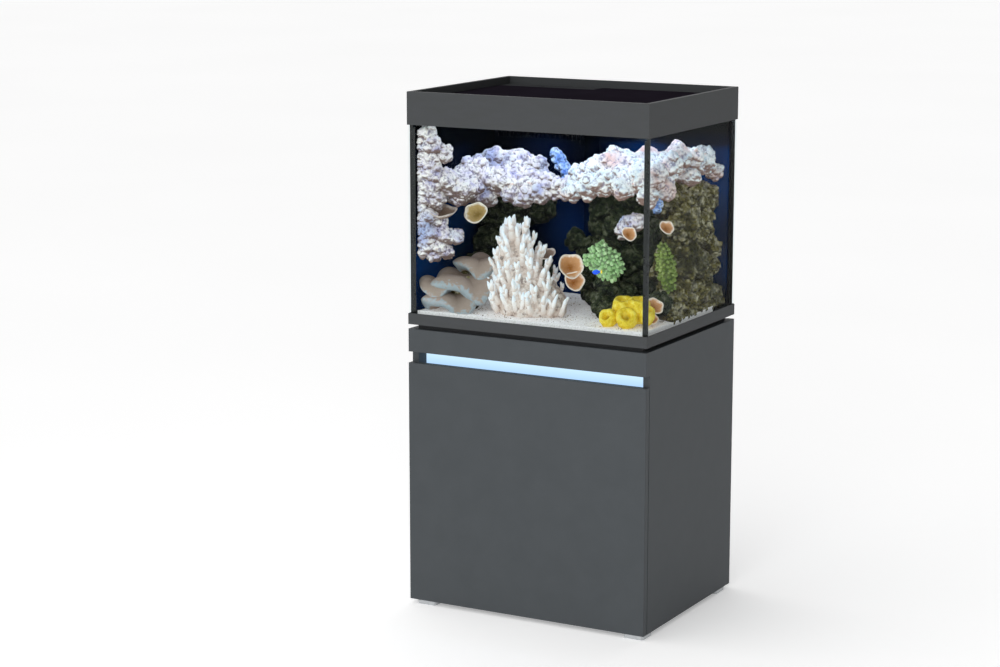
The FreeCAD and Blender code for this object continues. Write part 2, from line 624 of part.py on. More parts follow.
feet = []
foot_screws = []
foot_spots = [(x, y)
              for x in (f"{LEFT} + foot_inset_left", f"{RIGHT} - foot_inset_right - foot_side")
              for y in (f"{FRONT} + foot_inset_front", f"{BACK} - foot_inset_back - foot_side")]
for n, (x, y) in enumerate(foot_spots):
    block = box(f"foot_block_{n}", (x, y, "0"), ("foot_side", "foot_side", "foot_height"))
    doc.recompute()
    edges = [i for i, e in enumerate(block.Shape.Edges, 1) if e.BoundBox.ZLength > 1]
    foot = doc.addObject("Part::Chamfer", f"foot_{n}")
    foot.Base = block
    cut_size = sheet.foot_chamfer
    foot.Edges = [(i, cut_size, cut_size) for i in edges]
    holes = []
    for m, share in enumerate(("0.28", "0.72")):
        spot = (f"{x} + {share} * foot_side", f"{y} + foot_side / 2")
        holes.append(cylinder(f"foot_hole_{n}_{m}", (*spot, "0"), "screw_radius", "foot_height"))
        holes.append(cylinder(f"foot_sink_{n}_{m}", (*spot, "0"), "screw_head", "foot_height / 2"))
        shank = cylinder(f"foot_shank_{n}_{m}", (*spot, "foot_height / 2"),
                         "screw_radius", "foot_height / 2")
        head = cylinder(f"foot_head_{n}_{m}", (*spot, "foot_height / 3"),
                        "screw_head", "foot_height / 6")
        foot_screws.append(fuse(f"foot_screw_{n}_{m}", [shank, head]))
    feet.append(cut(f"foot_drilled_{n}", foot, fuse(f"foot_holes_{n}", holes)))
group("feet", feet)
group("wood_screws", leaf_screws + foot_screws)

# ---------------------------------------------------- mitred frames: trim and hood

CORNERS = (("front", (LEFT, FRONT), 0, "unit_width"), ("right", (RIGHT, FRONT), 90, "unit_depth"),
           ("back", (RIGHT, BACK), 180, "unit_width"), ("left", (LEFT, BACK), 270, "unit_depth"))


def mitred_rail(label, corner, level, angle, length, steps):
    """A rail with mitred ends: each step is (from, height, depth) of its section."""
    body = doc.addObject("PartDesign::Body", label)
    for n, (start, height, depth) in enumerate(steps):
        sketch = sketch_on(body, f"{label}_step{n}", lift=start)
        outline(sketch, [(0, 0), (100, 0), (80, 20), (20, 20)],
                [("DistanceX", 0, 1, length), ("DistanceY", 0, 3, depth),
                 ("DistanceX", 0, 3, depth), ("DistanceX", 2, 1, depth)])
        pad(body, f"{label}_pad{n}", sketch, height)
    put(body, (*corner, level), turned((0, 0, 1), angle))
    return keep(body, label)


def outer_rim(edge, limits):
    """The long outside edges at the very top and bottom of a rail."""
    outside = near(edge.YMin, limits.YMin) and near(edge.YMax, limits.YMin)
    level = near(edge.ZMin, limits.ZMax) or near(edge.ZMax, limits.ZMin)
    return outside and level


hood = {}
for side, corner, angle, length in CORNERS:
    trim = mitred_rail(f"trim_{side}", corner, TRIM_BOTTOM, angle, length,
                       (("0", "ledge_thick", "ledge_width"),
                        ("ledge_thick", "trim_height - ledge_thick", "rim_proud")))
    soften(trim, outer_rim, "edge_round / 2")
    hood[side] = mitred_rail(f"hood_{side}", corner, HOOD_BOTTOM, angle, length,
                             (("0", "hood_tuck", "rim_proud"),
                              ("hood_tuck", f"{LEDGE_RISE} - hood_tuck", "hood_ledge"),
                              (LEDGE_RISE, f"hood_height - {LEDGE_RISE}", "hood_wall")))
    soften(hood[side], outer_rim, "edge_round / 2")

AXIS_RISE = f"({LID_AXIS_Z} - {HOOD_BOTTOM})"


def pin_socket(rail, along):
    """A blind hole for a lid pin, drilled outwards from the inside of a side rail."""
    carve(rail, "SubtractiveCylinder", (along, "hood_wall", AXIS_RISE), turned((1, 0, 0), 90),
          Radius="lid_pin_radius", Height="lid_pin_grip")


pin_socket(hood["right"], f"{HINGE_Y} - {FRONT}")
pin_socket(hood["left"], f"{BACK} - {HINGE_Y}")
pin_socket(hood["left"], f"{BACK} - {FLAP_AXIS_Y}")

# ------------------------------------------------------------------- tank glass

base = plate("base_glass", (f"({LEFT} + rim_proud)", f"({FRONT} + rim_proud)", BASE_BOTTOM),
             (GLASS_WIDE, GLASS_DEEP, "base_thick"))
for pipe_x, pipe_radius in ((DRAIN_X, "drain_radius"), (RETURN_X, "return_radius")):
    pipe_hole(base, (f"({LEFT} + rim_proud)", f"({FRONT} + rim_proud)"),
              pipe_x, pipe_radius, "base_thick")

plate("front_glass", (f"({LEFT} + rim_proud)", f"({FRONT} + rim_proud)", PANE_BOTTOM),
      (GLASS_WIDE, "glass_thick", PANE_HEIGHT))
plate("back_glass", (f"({LEFT} + rim_proud)", TANK_BACK, PANE_BOTTOM),
      (GLASS_WIDE, "glass_thick", PANE_HEIGHT))
side_deep = f"({TANK_DEEP} - 2 * seam_thick)"
for side, x in (("left", f"({LEFT} + rim_proud)"), ("right", TANK_RIGHT)):
    plate(f"{side}_glass", (x, f"({TANK_FRONT} + seam_thick)", PANE_BOTTOM),
          ("glass_thick", side_deep, PANE_HEIGHT))
FILM_BOTTOM = f"({TRIM_BOTTOM} + trim_height)"
films = [
    box("film_back", (TANK_LEFT, f"{TANK_BACK} + glass_thick", FILM_BOTTOM),
        (TANK_WIDE, "film_thick", "pane_show")),
    box("film_left", (f"({LEFT} + rim_proud - film_thick)", TANK_FRONT, FILM_BOTTOM),
        ("film_thick", TANK_DEEP, "pane_show")),
]
group("back_film", films)


def fillet_run(name, corner, length, turn):
    """A three-cornered bead of silicone, seam_fillet on each leg, run along its Z."""
    wedge = doc.addObject("Part::Wedge", name)
    for prop in ("Xmin", "Ymin", "Zmin", "X2min", "X2max", "Z2min"):
        setattr(wedge, prop, 0)
    bind(wedge, "Xmax", "seam_fillet")
    bind(wedge, "Ymax", "seam_fillet")
    bind(wedge, "Zmax", length)
    bind(wedge, "Z2max", length)
    return put(wedge, corner, turn)


seams = []
for side, x in (("left", f"({LEFT} + rim_proud)"), ("right", TANK_RIGHT)):
    for end, y in (("front", TANK_FRONT), ("back", f"({TANK_BACK} - seam_thick)")):
        seams.append(box(f"bond_{side}_{end}", (x, y, PANE_BOTTOM),
                         ("glass_thick", "seam_thick", PANE_HEIGHT)))
    seams.append(box(f"bond_{side}_low", (x, TANK_FRONT, BASE_TOP),
                     ("glass_thick", TANK_DEEP, "seam_thick")))
for end, y in (("front", f"({FRONT} + rim_proud)"), ("back", TANK_BACK)):
    seams.append(box(f"bond_{end}_low", (f"({LEFT} + rim_proud)", y, BASE_TOP),
                     (GLASS_WIDE, "glass_thick", "seam_thick")))
bead_bottom = f"({BASE_TOP} + seam_fillet)"
bead_height = f"({BRACE_BOTTOM} - {BASE_TOP} - seam_fillet)"
for name, x, y, angle in (("front_left", TANK_LEFT, TANK_FRONT, 0),
                          ("front_right", TANK_RIGHT, TANK_FRONT, 90),
                          ("back_right", TANK_RIGHT, TANK_BACK, 180),
                          ("back_left", TANK_LEFT, TANK_BACK, 270)):
    seams.append(fillet_run(f"bead_{name}", (x, y, bead_bottom), bead_height,
                            turned((0, 0, 1), angle)))
along_x = Rotation(Vector(0, 1, 0), Vector(0, 0, 1), Vector(1, 0, 0), "ZXY")
seams.append(fillet_run("bead_front_low", (TANK_LEFT, TANK_FRONT, BASE_TOP), TANK_WIDE, along_x))
group("silicone_seams", seams)

braces = []
for side, x in (("left", TANK_LEFT), ("right", f"({TANK_RIGHT} - brace_width)")):
    braces.append(box(f"brace_{side}", (x, TANK_FRONT, BRACE_BOTTOM),
                      ("brace_width", TANK_DEEP, "brace_thick")))
group("glass_braces", braces)

# ------------------------------------------------------- lids, bridge and lamps

bridge_y = f"({HINGE_Y} - bridge_width / 2)"
plate("hood_bridge", (f"({LEFT} + hood_ledge)", bridge_y, f"({LEDGE_TOP} - bridge_height)"),
      ("unit_width - 2 * hood_ledge", "bridge_width", "bridge_height"))


def hinged_lid(label, corner, width, depth, hole_share):
    """A flat panel whose back edge is rounded about its pin line, with a finger hole."""
    body = plate(label, corner, (width, f"{depth} - lid_thick / 2", "lid_thick"))
    line = f"({depth} - lid_thick / 2)"
    carve(body, "AdditiveCylinder", ("0", line, "lid_thick / 2"), turned((0, 1, 0), 90),
          Radius="lid_thick / 2", Height=width)
    for x in ("0", f"{width} - lid_pin_reach - lid_gap"):
        carve(body, "SubtractiveCylinder", (x, line, "lid_thick / 2"), turned((0, 1, 0), 90),
              Radius="lid_pin_radius + run_gap", Height="lid_pin_reach + lid_gap")
    carve(body, "SubtractiveCylinder",
          (f"{hole_share} * {width}", "2 * finger_radius", "0"),
          Radius="finger_radius", Height="lid_thick")


lid_wide = f"({LID_RIGHT} - {LID_LEFT})"
lid_front_y = f"({FRONT} + hood_wall + lid_gap)"
hinged_lid("front_lid", (LID_LEFT, lid_front_y, LID_BOTTOM), lid_wide,
           f"({HINGE_Y} + lid_thick / 2 - {lid_front_y})", "0.5")
hinged_lid("service_flap", (LID_LEFT, REAR_Y, LID_BOTTOM), "flap_width", REAR_DEEP, "0.42")
COVER_X = f"({LID_LEFT} + flap_width + lid_gap)"
cover = plate("rear_cover", (COVER_X, REAR_Y, f"{LID_BOTTOM} - rest_gap"),
              (f"{LID_RIGHT} + lid_gap - {COVER_X}", f"{REAR_DEEP} + lid_gap", "lid_thick"))
carve(cover, "SubtractiveCylinder",
      ("0", f"{FLAP_AXIS_Y} - {REAR_Y}", "lid_thick / 2 + rest_gap"), turned((0, 1, 0), 90),
      Radius="lid_pin_radius", Height="lid_pin_grip")

pin_long = "(lid_pin_grip + lid_gap + lid_pin_reach - lid_pin_end)"
lid_pins = [
    cylinder("lid_pin_left", (f"{LID_LEFT} - lid_gap - lid_pin_grip", HINGE_Y, LID_AXIS_Z),
             "lid_pin_radius", pin_long, turned((0, 1, 0), 90)),
    cylinder("lid_pin_right", (f"{LID_RIGHT} - lid_pin_reach + lid_pin_end", HINGE_Y, LID_AXIS_Z),
             "lid_pin_radius", pin_long, turned((0, 1, 0), 90)),
    cylinder("flap_pin_left", (f"{LID_LEFT} - lid_gap - lid_pin_grip", FLAP_AXIS_Y, LID_AXIS_Z),
             "lid_pin_radius", pin_long, turned((0, 1, 0), 90)),
    cylinder("flap_pin_right",
             (f"{COVER_X} - lid_gap - lid_pin_reach + lid_pin_end", FLAP_AXIS_Y, LID_AXIS_Z),
             "lid_pin_radius", pin_long, turned((0, 1, 0), 90)),
]
group("lid_pins", lid_pins)

lamp_long = "(unit_width - 2 * hood_ledge)"
lamp_z = f"({LEDGE_TOP} - lamp_drop - lamp_height)"
lamps = []
lenses = []
for n, back in enumerate(("0", "lamp_pitch")):
    corner = (f"({LEFT} + hood_ledge)", f"({FRONT} + hood_wall + lamp_front + {back})", lamp_z)
    shell = box(f"lamp_shell_{n}", corner, (lamp_long, "lamp_width", "lamp_height"))
    lens_corner = (f"{corner[0]} + lamp_wall", f"{corner[1]} + lamp_wall", lamp_z)
    lens_size = (f"{lamp_long} - 2 * lamp_wall", "lamp_width - 2 * lamp_wall", "lens_thick")
    lamps.append(cut(f"lamp_{n}", shell, box(f"lamp_recess_{n}", lens_corner, lens_size)))
    lenses.append(box(f"lens_{n}", lens_corner, lens_size))
group("lamp_bars", lamps)
group("lamp_lenses", lenses)

# -------------------------------------------------- overflow shaft and its pipes

shaft_bottom = f"({BASE_TOP} + seam_fillet)"
shaft_height = f"({SHAFT_TOP} - {shaft_bottom})"
shaft_front = plate("shaft_front_wall", (f"{TANK_LEFT}", SHAFT_FRONT, shaft_bottom),
                    ("shaft_width + shaft_wall", "shaft_wall", shaft_height))
slot = carve(shaft_front, "SubtractiveBox", ("comb_pitch", "0", f"{shaft_height} - comb_depth"),
             Length="comb_slot", Width="shaft_wall", Height="comb_depth")
doc.recompute()
comb = shaft_front.newObject("PartDesign::LinearPattern", "shaft_comb")
comb.Originals = [slot]
comb.Direction = (next(o for o in shaft_front.Origin.OriginFeatures if o.Role == "X_Axis"), [""])
bind(comb, "Length", "shaft_width - 2 * comb_pitch")
bind(comb, "Occurrences", "round(shaft_width / comb_pitch) - 1")
shaft_front.Tip = comb
plate("shaft_side_wall", (f"({TANK_LEFT} + shaft_width)", f"({SHAFT_FRONT} + shaft_wall)",
                          shaft_bottom),
      ("shaft_wall", "shaft_depth", shaft_height))

DRAIN_BOTTOM = f"({SUMP_FLOOR} + sock_lift + sock_height / 2)"
drain_top = f"({SHAFT_TOP} - comb_depth)"
keep(ring("drain_pipe", (DRAIN_X, PIPE_Y, DRAIN_BOTTOM), "drain_radius",
          "drain_radius - pipe_wall", f"{drain_top} - {DRAIN_BOTTOM}"), "drain_pipe")

# Return pipe: up from the pump, level to the left, up the shaft, forward over its wall.
NOZZLE_Z = f"({SHAFT_TOP} + return_radius + nozzle_rise)"


def return_run_solid(name, radius):
    """One solid run of the return pipe at the given radius, with its three bends."""
    low_z = "return_run"
    parts = [
        cylinder(name + "_rise", (PUMP_X, PIPE_Y, PUMP_TOP), radius,
                 f"{low_z} - elbow_radius - {PUMP_TOP}"),
        cylinder(name + "_level", (f"{RETURN_X} + elbow_radius", PIPE_Y, low_z), radius,
                 f"{PUMP_X} - {RETURN_X} - 2 * elbow_radius", turned((0, 1, 0), 90)),
        cylinder(name + "_shaft", (RETURN_X, PIPE_Y, f"{low_z} + elbow_radius"), radius,
                 f"{NOZZLE_Z} - {low_z} - 2 * elbow_radius"),
        cylinder(name + "_nozzle", (RETURN_X, f"{PIPE_Y} - elbow_radius", NOZZLE_Z), radius,
                 "nozzle_run", turned((1, 0, 0), 90)),
    ]
    bends = (
        ("first", (f"{PUMP_X} - elbow_radius", PIPE_Y, f"{low_z} - elbow_radius"),
         turned((1, 0, 0), 90)),
        ("second", (f"{RETURN_X} + elbow_radius", PIPE_Y, f"{low_z} + elbow_radius"),
         Rotation(Vector(-1, 0, 0), Vector(0, 0, -1), Vector(0, -1, 0), "XYZ")),
        ("third", (RETURN_X, f"{PIPE_Y} - elbow_radius", f"{NOZZLE_Z} - elbow_radius"),
         Rotation(Vector(0, 1, 0), Vector(0, 0, 1), Vector(1, 0, 0), "XYZ")),
    )
    for bend, centre, turn in bends:
        elbow = doc.addObject("Part::Torus", f"{name}_{bend}")
        bind(elbow, "Radius1", "elbow_radius")
        bind(elbow, "Radius2", radius)
        elbow.Angle3 = 90
        put(elbow, centre, turn)
        parts.append(elbow)
    return fuse(name, parts)


keep(cut("return_pipe", return_run_solid("return_outside", "return_radius"),
         return_run_solid("return_bore", "return_radius - pipe_wall")), "return_pipe")

fittings = []
for name, pipe_x, pipe_radius in (("drain", DRAIN_X, "drain_radius"),
                                  ("return", RETURN_X, "return_radius")):
    for place, level in (("tank", BASE_TOP), ("cabinet", f"({CAB_CEILING} - flange_thick)")):
        fittings.append(ring(f"flange_{name}_{place}", (pipe_x, PIPE_Y, level),
                             f"{pipe_radius} + flange_wall", pipe_radius, "flange_thick"))
group("pipe_fittings", fittings)

# ------------------------------------------------------- filter tank and its units

sump_inner = "(sump_depth - 2 * sump_glass)"
walls = [
    box("sump_base", (SUMP_LEFT, SUMP_FRONT, CAB_FLOOR), ("sump_width", "sump_depth", "sump_glass")),
    box("sump_front", (SUMP_LEFT, SUMP_FRONT, SUMP_FLOOR),
        ("sump_width", "sump_glass", "sump_height - sump_glass")),
    box("sump_back", (SUMP_LEFT, f"{SUMP_BACK} - sump_glass", SUMP_FLOOR),
        ("sump_width", "sump_glass", "sump_height - sump_glass")),
]
for name, x, height in (("left", SUMP_LEFT, "sump_height - sump_glass"),
                        ("right", f"{SUMP_LEFT} + sump_width - sump_glass",
                         "sump_height - sump_glass"),
                        ("baffle_sock", f"{SKIMMER_LEFT} - sump_glass", "baffle_height"),
                        ("baffle_pump", f"{PUMP_LEFT} - sump_glass", "baffle_height")):
    walls.append(box(f"sump_{name}", (x, f"{SUMP_FRONT} + sump_glass", SUMP_FLOOR),
                     ("sump_glass", sump_inner, height)))
group("filter_tank", walls)

sock_at = (DRAIN_X, PIPE_Y, f"{SUMP_FLOOR} + sock_lift")
sock_bag = cylinder("sock_bag", sock_at, "sock_radius", "sock_height")
sock_hollow = cylinder("sock_hollow", (DRAIN_X, PIPE_Y, f"{SUMP_FLOOR} + sock_lift + sock_wall"),
                       "sock_radius - sock_wall", "sock_height")
keep(cut("filter_sock", sock_bag, sock_hollow), "filter_sock")

SKIMMER_X = f"({SKIMMER_LEFT} + skimmer_chamber / 2)"
SKIMMER_Y = f"({SUMP_FRONT} + sump_depth / 2)"
skimmer_body = [
    cylinder("skimmer_drum", (SKIMMER_X, SKIMMER_Y, SUMP_FLOOR), "skimmer_radius", "skimmer_height"),
    cone("skimmer_shoulder", (SKIMMER_X, SKIMMER_Y, f"{SUMP_FLOOR} + skimmer_height"),
         "skimmer_radius", "skimmer_neck", "skimmer_neck"),
]
keep(fuse("skimmer_body", skimmer_body), "skimmer_body")
cup_z = f"({SUMP_FLOOR} + skimmer_height + skimmer_neck)"
keep(ring("skimmer_cup", (SKIMMER_X, SKIMMER_Y, cup_z), "cup_radius", "skimmer_neck / 2",
          "cup_height"), "skimmer_cup")

pump = plate("return_pump",
             (f"{PUMP_X} - pump_length / 2", f"{PIPE_Y} - pump_width / 2", SUMP_FLOOR),
             ("pump_length", "pump_width", "pump_height - pump_neck"))
soften(pump, upright, "6 * edge_round")
carve(pump, "AdditiveCylinder", ("pump_length / 2", "pump_width / 2", "pump_height - pump_neck"),
      Radius="return_radius + pump_neck_wall", Height="pump_neck")

# --------------------------------------------------------------- sand and reef

sand_gap = "(seam_fillet + rest_gap)"
sand_slab = box("sand_slab", (f"({TANK_LEFT} + {sand_gap})", f"({TANK_FRONT} + {sand_gap})", BASE_TOP),
                (f"{TANK_WIDE} - 2 * {sand_gap}",
                 f"{SHAFT_FRONT} - {TANK_FRONT} - {sand_gap} - rest_gap", "sand_depth"))
keep(sand_slab, "sand_bed")

REEF_Y = f"({SHAFT_FRONT} - reef_gap - shelf_depth)"
SIDE_X = f"({TANK_RIGHT} - reef_gap)"
ROCK_FRONT = f"({TANK_FRONT} + 8 * reef_gap)"
SHELF_BOTTOM = f"({SAND_TOP} + shelf_rise)"
SIDE_ROW = f"({TANK_FRONT} + coral_spread + 6 * reef_gap)"
CLUSTER_HEAD = "(0.5 * coral_spread)"
corner_deep = f"({REEF_Y} - {ROCK_FRONT})"

# The right pillar stands halfway between the cluster coral and the back pane.
right_rock_y = f"(({SIDE_ROW} + {CLUSTER_HEAD} + {TANK_BACK}) / 2)"
reef = [
    box("rock_shelf", (f"({TANK_LEFT} + reef_gap)", REEF_Y, SHELF_BOTTOM),
        (f"{TANK_WIDE} - 2 * reef_gap", "shelf_depth", "shelf_thick")),
    box("rock_corner", (f"({TANK_LEFT} + reef_gap)", ROCK_FRONT, f"({SAND_TOP} + corner_rise)"),
        ("corner_width", corner_deep, "corner_height")),
    box("rock_head", (f"({SIDE_X} - head_width)", ROCK_FRONT, SHELF_BOTTOM),
        ("head_width", corner_deep, "shelf_thick")),
    cone("rock_left", (f"({TANK_LEFT} + reef_gap + left_rock_radius)",
                       f"({REEF_Y} + shelf_depth / 2)", SAND_TOP),
         "left_rock_radius", "0.8 * left_rock_radius", "shelf_rise"),
    cone("rock_right", (f"({TANK_RIGHT} - 3 * reef_gap - right_rock_radius)", right_rock_y, SAND_TOP),
         "right_rock_radius", "0.8 * right_rock_radius", "shelf_rise"),
]
group("reef_rock", reef)

# The finger coral is broad at its foot, close behind the front pane.
finger_at = (f"({TANK_LEFT} + {TANK_WIDE} / 2 - 6 * reef_gap)",
             f"({TANK_FRONT} + coral_spread + reef_gap)", SAND_TOP)
keep(cone("finger_coral", finger_at, "coral_spread", "0.3 * coral_spread", "coral_rise"),
     "finger_coral")

LEATHER_HEAD = "(0.78 * coral_spread)"
leather_at = (f"({TANK_LEFT} + reef_gap + {LEATHER_HEAD})",
              f"({TANK_FRONT} + reef_gap + {LEATHER_HEAD})", SAND_TOP)
keep(cone("leather_coral", leather_at, "0.5 * coral_spread", LEATHER_HEAD, "0.55 * coral_rise"),
     "leather_coral")

cups = [
    cone("cup_coral", (f"({SIDE_X} - 0.8 * coral_spread)", SIDE_ROW, SAND_TOP),
         "0.12 * coral_spread", "0.3 * coral_spread", "0.5 * coral_rise"),
    cone("cluster_coral", (f"({SIDE_X} - 1.5 * coral_spread)", SIDE_ROW, SAND_TOP),
         "0.2 * coral_spread", CLUSTER_HEAD, "0.75 * coral_rise"),
    cone("yellow_sponge", (f"({SIDE_X} - 0.5 * coral_spread)",
                           f"({TANK_FRONT} + 0.7 * coral_spread)", SAND_TOP),
         "0.4 * coral_spread", "0.35 * coral_spread", "0.25 * coral_rise"),
]
group("small_corals", cups)

# ----------------------------------------------------------------- check and write

doc.recompute()
for obj in doc.Objects:
    if "Invalid" in obj.State or "Error" in obj.State:
        raise RuntimeError(f"{obj.Name} did not build: {obj.State}")
os.makedirs("parts", exist_ok=True)
for obj in NODES:
    if obj.Shape.isNull() or not obj.Shape.isValid() or not obj.Shape.Solids:
        raise RuntimeError(f"{obj.Label} has no valid solid")
for obj in NODES:
    obj.Shape.exportStep(os.path.join("parts", obj.Label + ".step"))
print(len(NODES), "sub-parts written")
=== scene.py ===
"""Aquarium on its cabinet: finishes, reef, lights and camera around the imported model.

Metres, Z up, the same frame as the CAD. Sizes in millimetres are written n * MM.
"""

import math
import random

import bmesh
import bpy
from mathutils import Matrix, Vector, noise


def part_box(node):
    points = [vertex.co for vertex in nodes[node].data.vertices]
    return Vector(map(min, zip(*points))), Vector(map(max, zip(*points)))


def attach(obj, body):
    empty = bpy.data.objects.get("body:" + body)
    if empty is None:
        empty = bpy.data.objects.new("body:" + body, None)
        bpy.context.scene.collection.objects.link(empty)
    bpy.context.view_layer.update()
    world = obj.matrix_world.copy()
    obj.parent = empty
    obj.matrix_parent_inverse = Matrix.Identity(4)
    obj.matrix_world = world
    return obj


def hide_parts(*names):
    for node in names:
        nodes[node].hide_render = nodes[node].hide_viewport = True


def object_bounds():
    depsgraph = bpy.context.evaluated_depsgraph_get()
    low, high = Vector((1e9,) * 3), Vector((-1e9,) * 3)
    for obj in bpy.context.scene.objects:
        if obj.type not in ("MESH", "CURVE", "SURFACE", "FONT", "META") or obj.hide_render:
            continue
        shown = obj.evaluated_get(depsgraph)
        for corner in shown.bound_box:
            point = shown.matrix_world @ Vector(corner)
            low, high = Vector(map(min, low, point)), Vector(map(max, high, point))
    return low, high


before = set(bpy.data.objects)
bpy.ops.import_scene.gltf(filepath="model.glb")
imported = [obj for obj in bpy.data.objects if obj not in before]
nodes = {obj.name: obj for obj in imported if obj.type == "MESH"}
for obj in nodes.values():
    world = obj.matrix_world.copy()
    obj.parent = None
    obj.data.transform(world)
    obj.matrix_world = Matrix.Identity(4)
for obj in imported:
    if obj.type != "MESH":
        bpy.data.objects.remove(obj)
cad_low, cad_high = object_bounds()

MM = 0.001
SCENE = bpy.context.scene

# ------------------------------------------------------------------ places in the tank

TANK_LOW = Vector((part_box("left_glass")[1].x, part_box("front_glass")[1].y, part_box("sand_bed")[1].z))
TANK_HIGH = Vector((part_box("right_glass")[0].x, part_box("back_glass")[0].y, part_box("front_glass")[1].z))


def spot(x, y, z):
    """A place x mm from the left pane, y mm from the front pane and z mm over the sand."""
    return TANK_LOW + Vector((x, y, z)) * MM


# -------------------------------------------------------------------------- shader nodes


def tone(code):
    """An sRGB hex colour as the linear colour that a shader works in."""
    channels = [int(code[i:i + 2], 16) / 255 for i in (1, 3, 5)]
    linear = [c / 12.92 if c <= 0.04045 else ((c + 0.055) / 1.055) ** 2.4 for c in channels]
    return (*linear, 1.0)


def add(tree, kind, sets=None, links=None, **settings):
    """A node with its settings, its socket values, and links into its sockets."""
    node = tree.nodes.new(kind)
    for name, value in settings.items():
        setattr(node, name, value)
    for socket, value in (sets or {}).items():
        node.inputs[socket].default_value = value
    for socket, source in (links or {}).items():
        tree.links.new(source, node.inputs[socket])
    return node


def new_material(name):
    """An empty node material, its tree and its output node."""
    material = bpy.data.materials.new(name)
    material.use_nodes = True
    tree = material.node_tree
    tree.nodes.clear()
    return material, tree, add(tree, "ShaderNodeOutputMaterial")


def grain(tree, size, detail=3.0, stretch=(1, 1, 1), rough=0.55):
    """Noise in object space whose features are about size metres across."""
    place = add(tree, "ShaderNodeTexCoord")
    mapped = add(tree, "ShaderNodeMapping", {"Scale": stretch}, {"Vector": place.outputs["Object"]})
    return add(tree, "ShaderNodeTexNoise", {"Scale": 1 / size, "Detail": detail, "Roughness": rough},
               {"Vector": mapped.outputs[0]}).outputs[0]


def ramp(tree, source, stops):
    """Colours over a value, as (position, hex) stops."""
    node = add(tree, "ShaderNodeValToRGB", links={0: source})
    points = node.color_ramp.elements
    for i, (position, code) in enumerate(stops):
        point = points[i] if i < 2 else points.new(position)
        point.position = position
        point.color = tone(code)
    return node.outputs[0]


def span(tree, source, low, high, start=0.0, end=1.0):
    """The source from start to end, stretched to run from low to high."""
    return add(tree, "ShaderNodeMapRange", {1: start, 2: end, 3: low, 4: high}, {0: source}).outputs[0]


def bump(tree, height, depth):
    """A normal tilted by a height value that stands for this depth in metres."""
    return add(tree, "ShaderNodeBump", {"Strength": 1.0, "Distance": depth},
               {"Height": height}).outputs[0]


def solid(name, dark, light, size, roughness, depth, detail=3.0, stretch=(1, 1, 1), spread=0.06,
          **fixed):
    """An opaque finish: a colour that drifts by a noise, a roughness that follows it, fine relief."""
    material, tree, output = new_material(name)
    mottle = grain(tree, size, detail, stretch)
    relief = grain(tree, size / 6, 2.0, stretch)
    shader = add(tree, "ShaderNodeBsdfPrincipled", dict(fixed),
                 {"Base Color": ramp(tree, mottle, [(0.3, dark), (0.7, light)]),
                  "Roughness": span(tree, mottle, roughness - spread, roughness + spread, 0.3, 0.7),
                  "Normal": bump(tree, relief, depth)})
    tree.links.new(shader.outputs[0], output.inputs[0])
    return material


# ----------------------------------------------------------------------- cabinet finishes

# Lacquered MDF, sprayed satin: an even anthracite with a soft sheen and a trace of orange peel.
lacquered_mdf = solid("lacquered_mdf", "#4A4E51", "#4D5154", 60 * MM, 0.5, 0.01 * MM,
                      spread=0.01, **{"Specular IOR Level": 0.12})
# Foil-wrapped MDF, pressed matt: the shadow gap board, nearly black and without sheen.
foiled_mdf = solid("foiled_mdf", "#2B2C2E", "#313234", 40 * MM, 0.6, 0.02 * MM,
                   **{"Specular IOR Level": 0.3})
# Hardboard, foil-faced: the flat grey of a cabinet back, with a faint press texture.
hardboard = solid("hardboard", "#6C6E70", "#787A7C", 25 * MM, 0.65, 0.05 * MM)
# Polystyrene profile, extruded and brushed satin: the anthracite of the boards, a touch smoother.
extruded_trim = solid("extruded_trim", "#484A4B", "#4A4C4E", 50 * MM, 0.5, 0.01 * MM,
                      stretch=(1, 1, 4), spread=0.01, **{"Specular IOR Level": 0.08})
# Die-cast aluminium, tumbled: light grey feet with a silky, slightly uneven face.
cast_aluminium = solid("cast_aluminium", "#B9BCBF", "#CBCED0", 12 * MM, 0.42, 0.04 * MM,
                       **{"Metallic": 0.55})
# Anodised aluminium, drawn: fine lines along the lamp bars.
anodised_aluminium = solid("anodised_aluminium", "#A4A7AB", "#B4B7BA", 6 * MM, 0.35,
                           0.02 * MM, stretch=(0.05, 1, 1), **{"Metallic": 1.0})
# Zinc-plated steel, rolled: a bluish grey with cloudy patches.
zinc_steel = solid("zinc_steel", "#9A9EA3", "#B6BABF", 5 * MM, 0.3, 0.01 * MM,
                   **{"Metallic": 1.0})
# Nylon, moulded: milky and slightly waxy.
moulded_nylon = solid("moulded_nylon", "#D3D2C8", "#DDDCD3", 4 * MM, 0.5, 0.01 * MM)
# ABS, moulded with a fine spark texture.
moulded_abs = solid("moulded_abs", "#2A2B2D", "#333436", 2 * MM, 0.55, 0.03 * MM)
# Natural rubber, moulded black.
black_rubber = solid("black_rubber", "#1A1A1A", "#222222", 3 * MM, 0.75, 0.03 * MM)
# Silicone sealant, tooled: black beads with a wet-looking smoothness.
silicone = solid("silicone", "#0B0B0C", "#121213", 15 * MM, 0.32, 0.05 * MM)
# PVC pipe, extruded grey.
grey_pvc = solid("grey_pvc", "#56595D", "#5E6165", 20 * MM, 0.4, 0.02 * MM)
# Needle felt, heat-set: off-white fibres in all directions.
needle_felt = solid("needle_felt", "#D9D6CC", "#EFEDE6", 1.5 * MM, 0.95, 0.6 * MM,
                    detail=6.0, **{"Sheen Weight": 0.4})
# Glass-fibre circuit strip with a white solder mask.
circuit_strip = solid("circuit_strip", "#E7E8E4", "#F4F5F2", 4 * MM, 0.35, 0.01 * MM)
# Cast acrylic, tinted nearly black violet and etched on its upper face, so that it hardly mirrors.
tinted_acrylic = solid("tinted_acrylic", "#1E1A21", "#231F27", 120 * MM, 0.3, 0.01 * MM,
                       spread=0.02, **{"Specular IOR Level": 0.0})
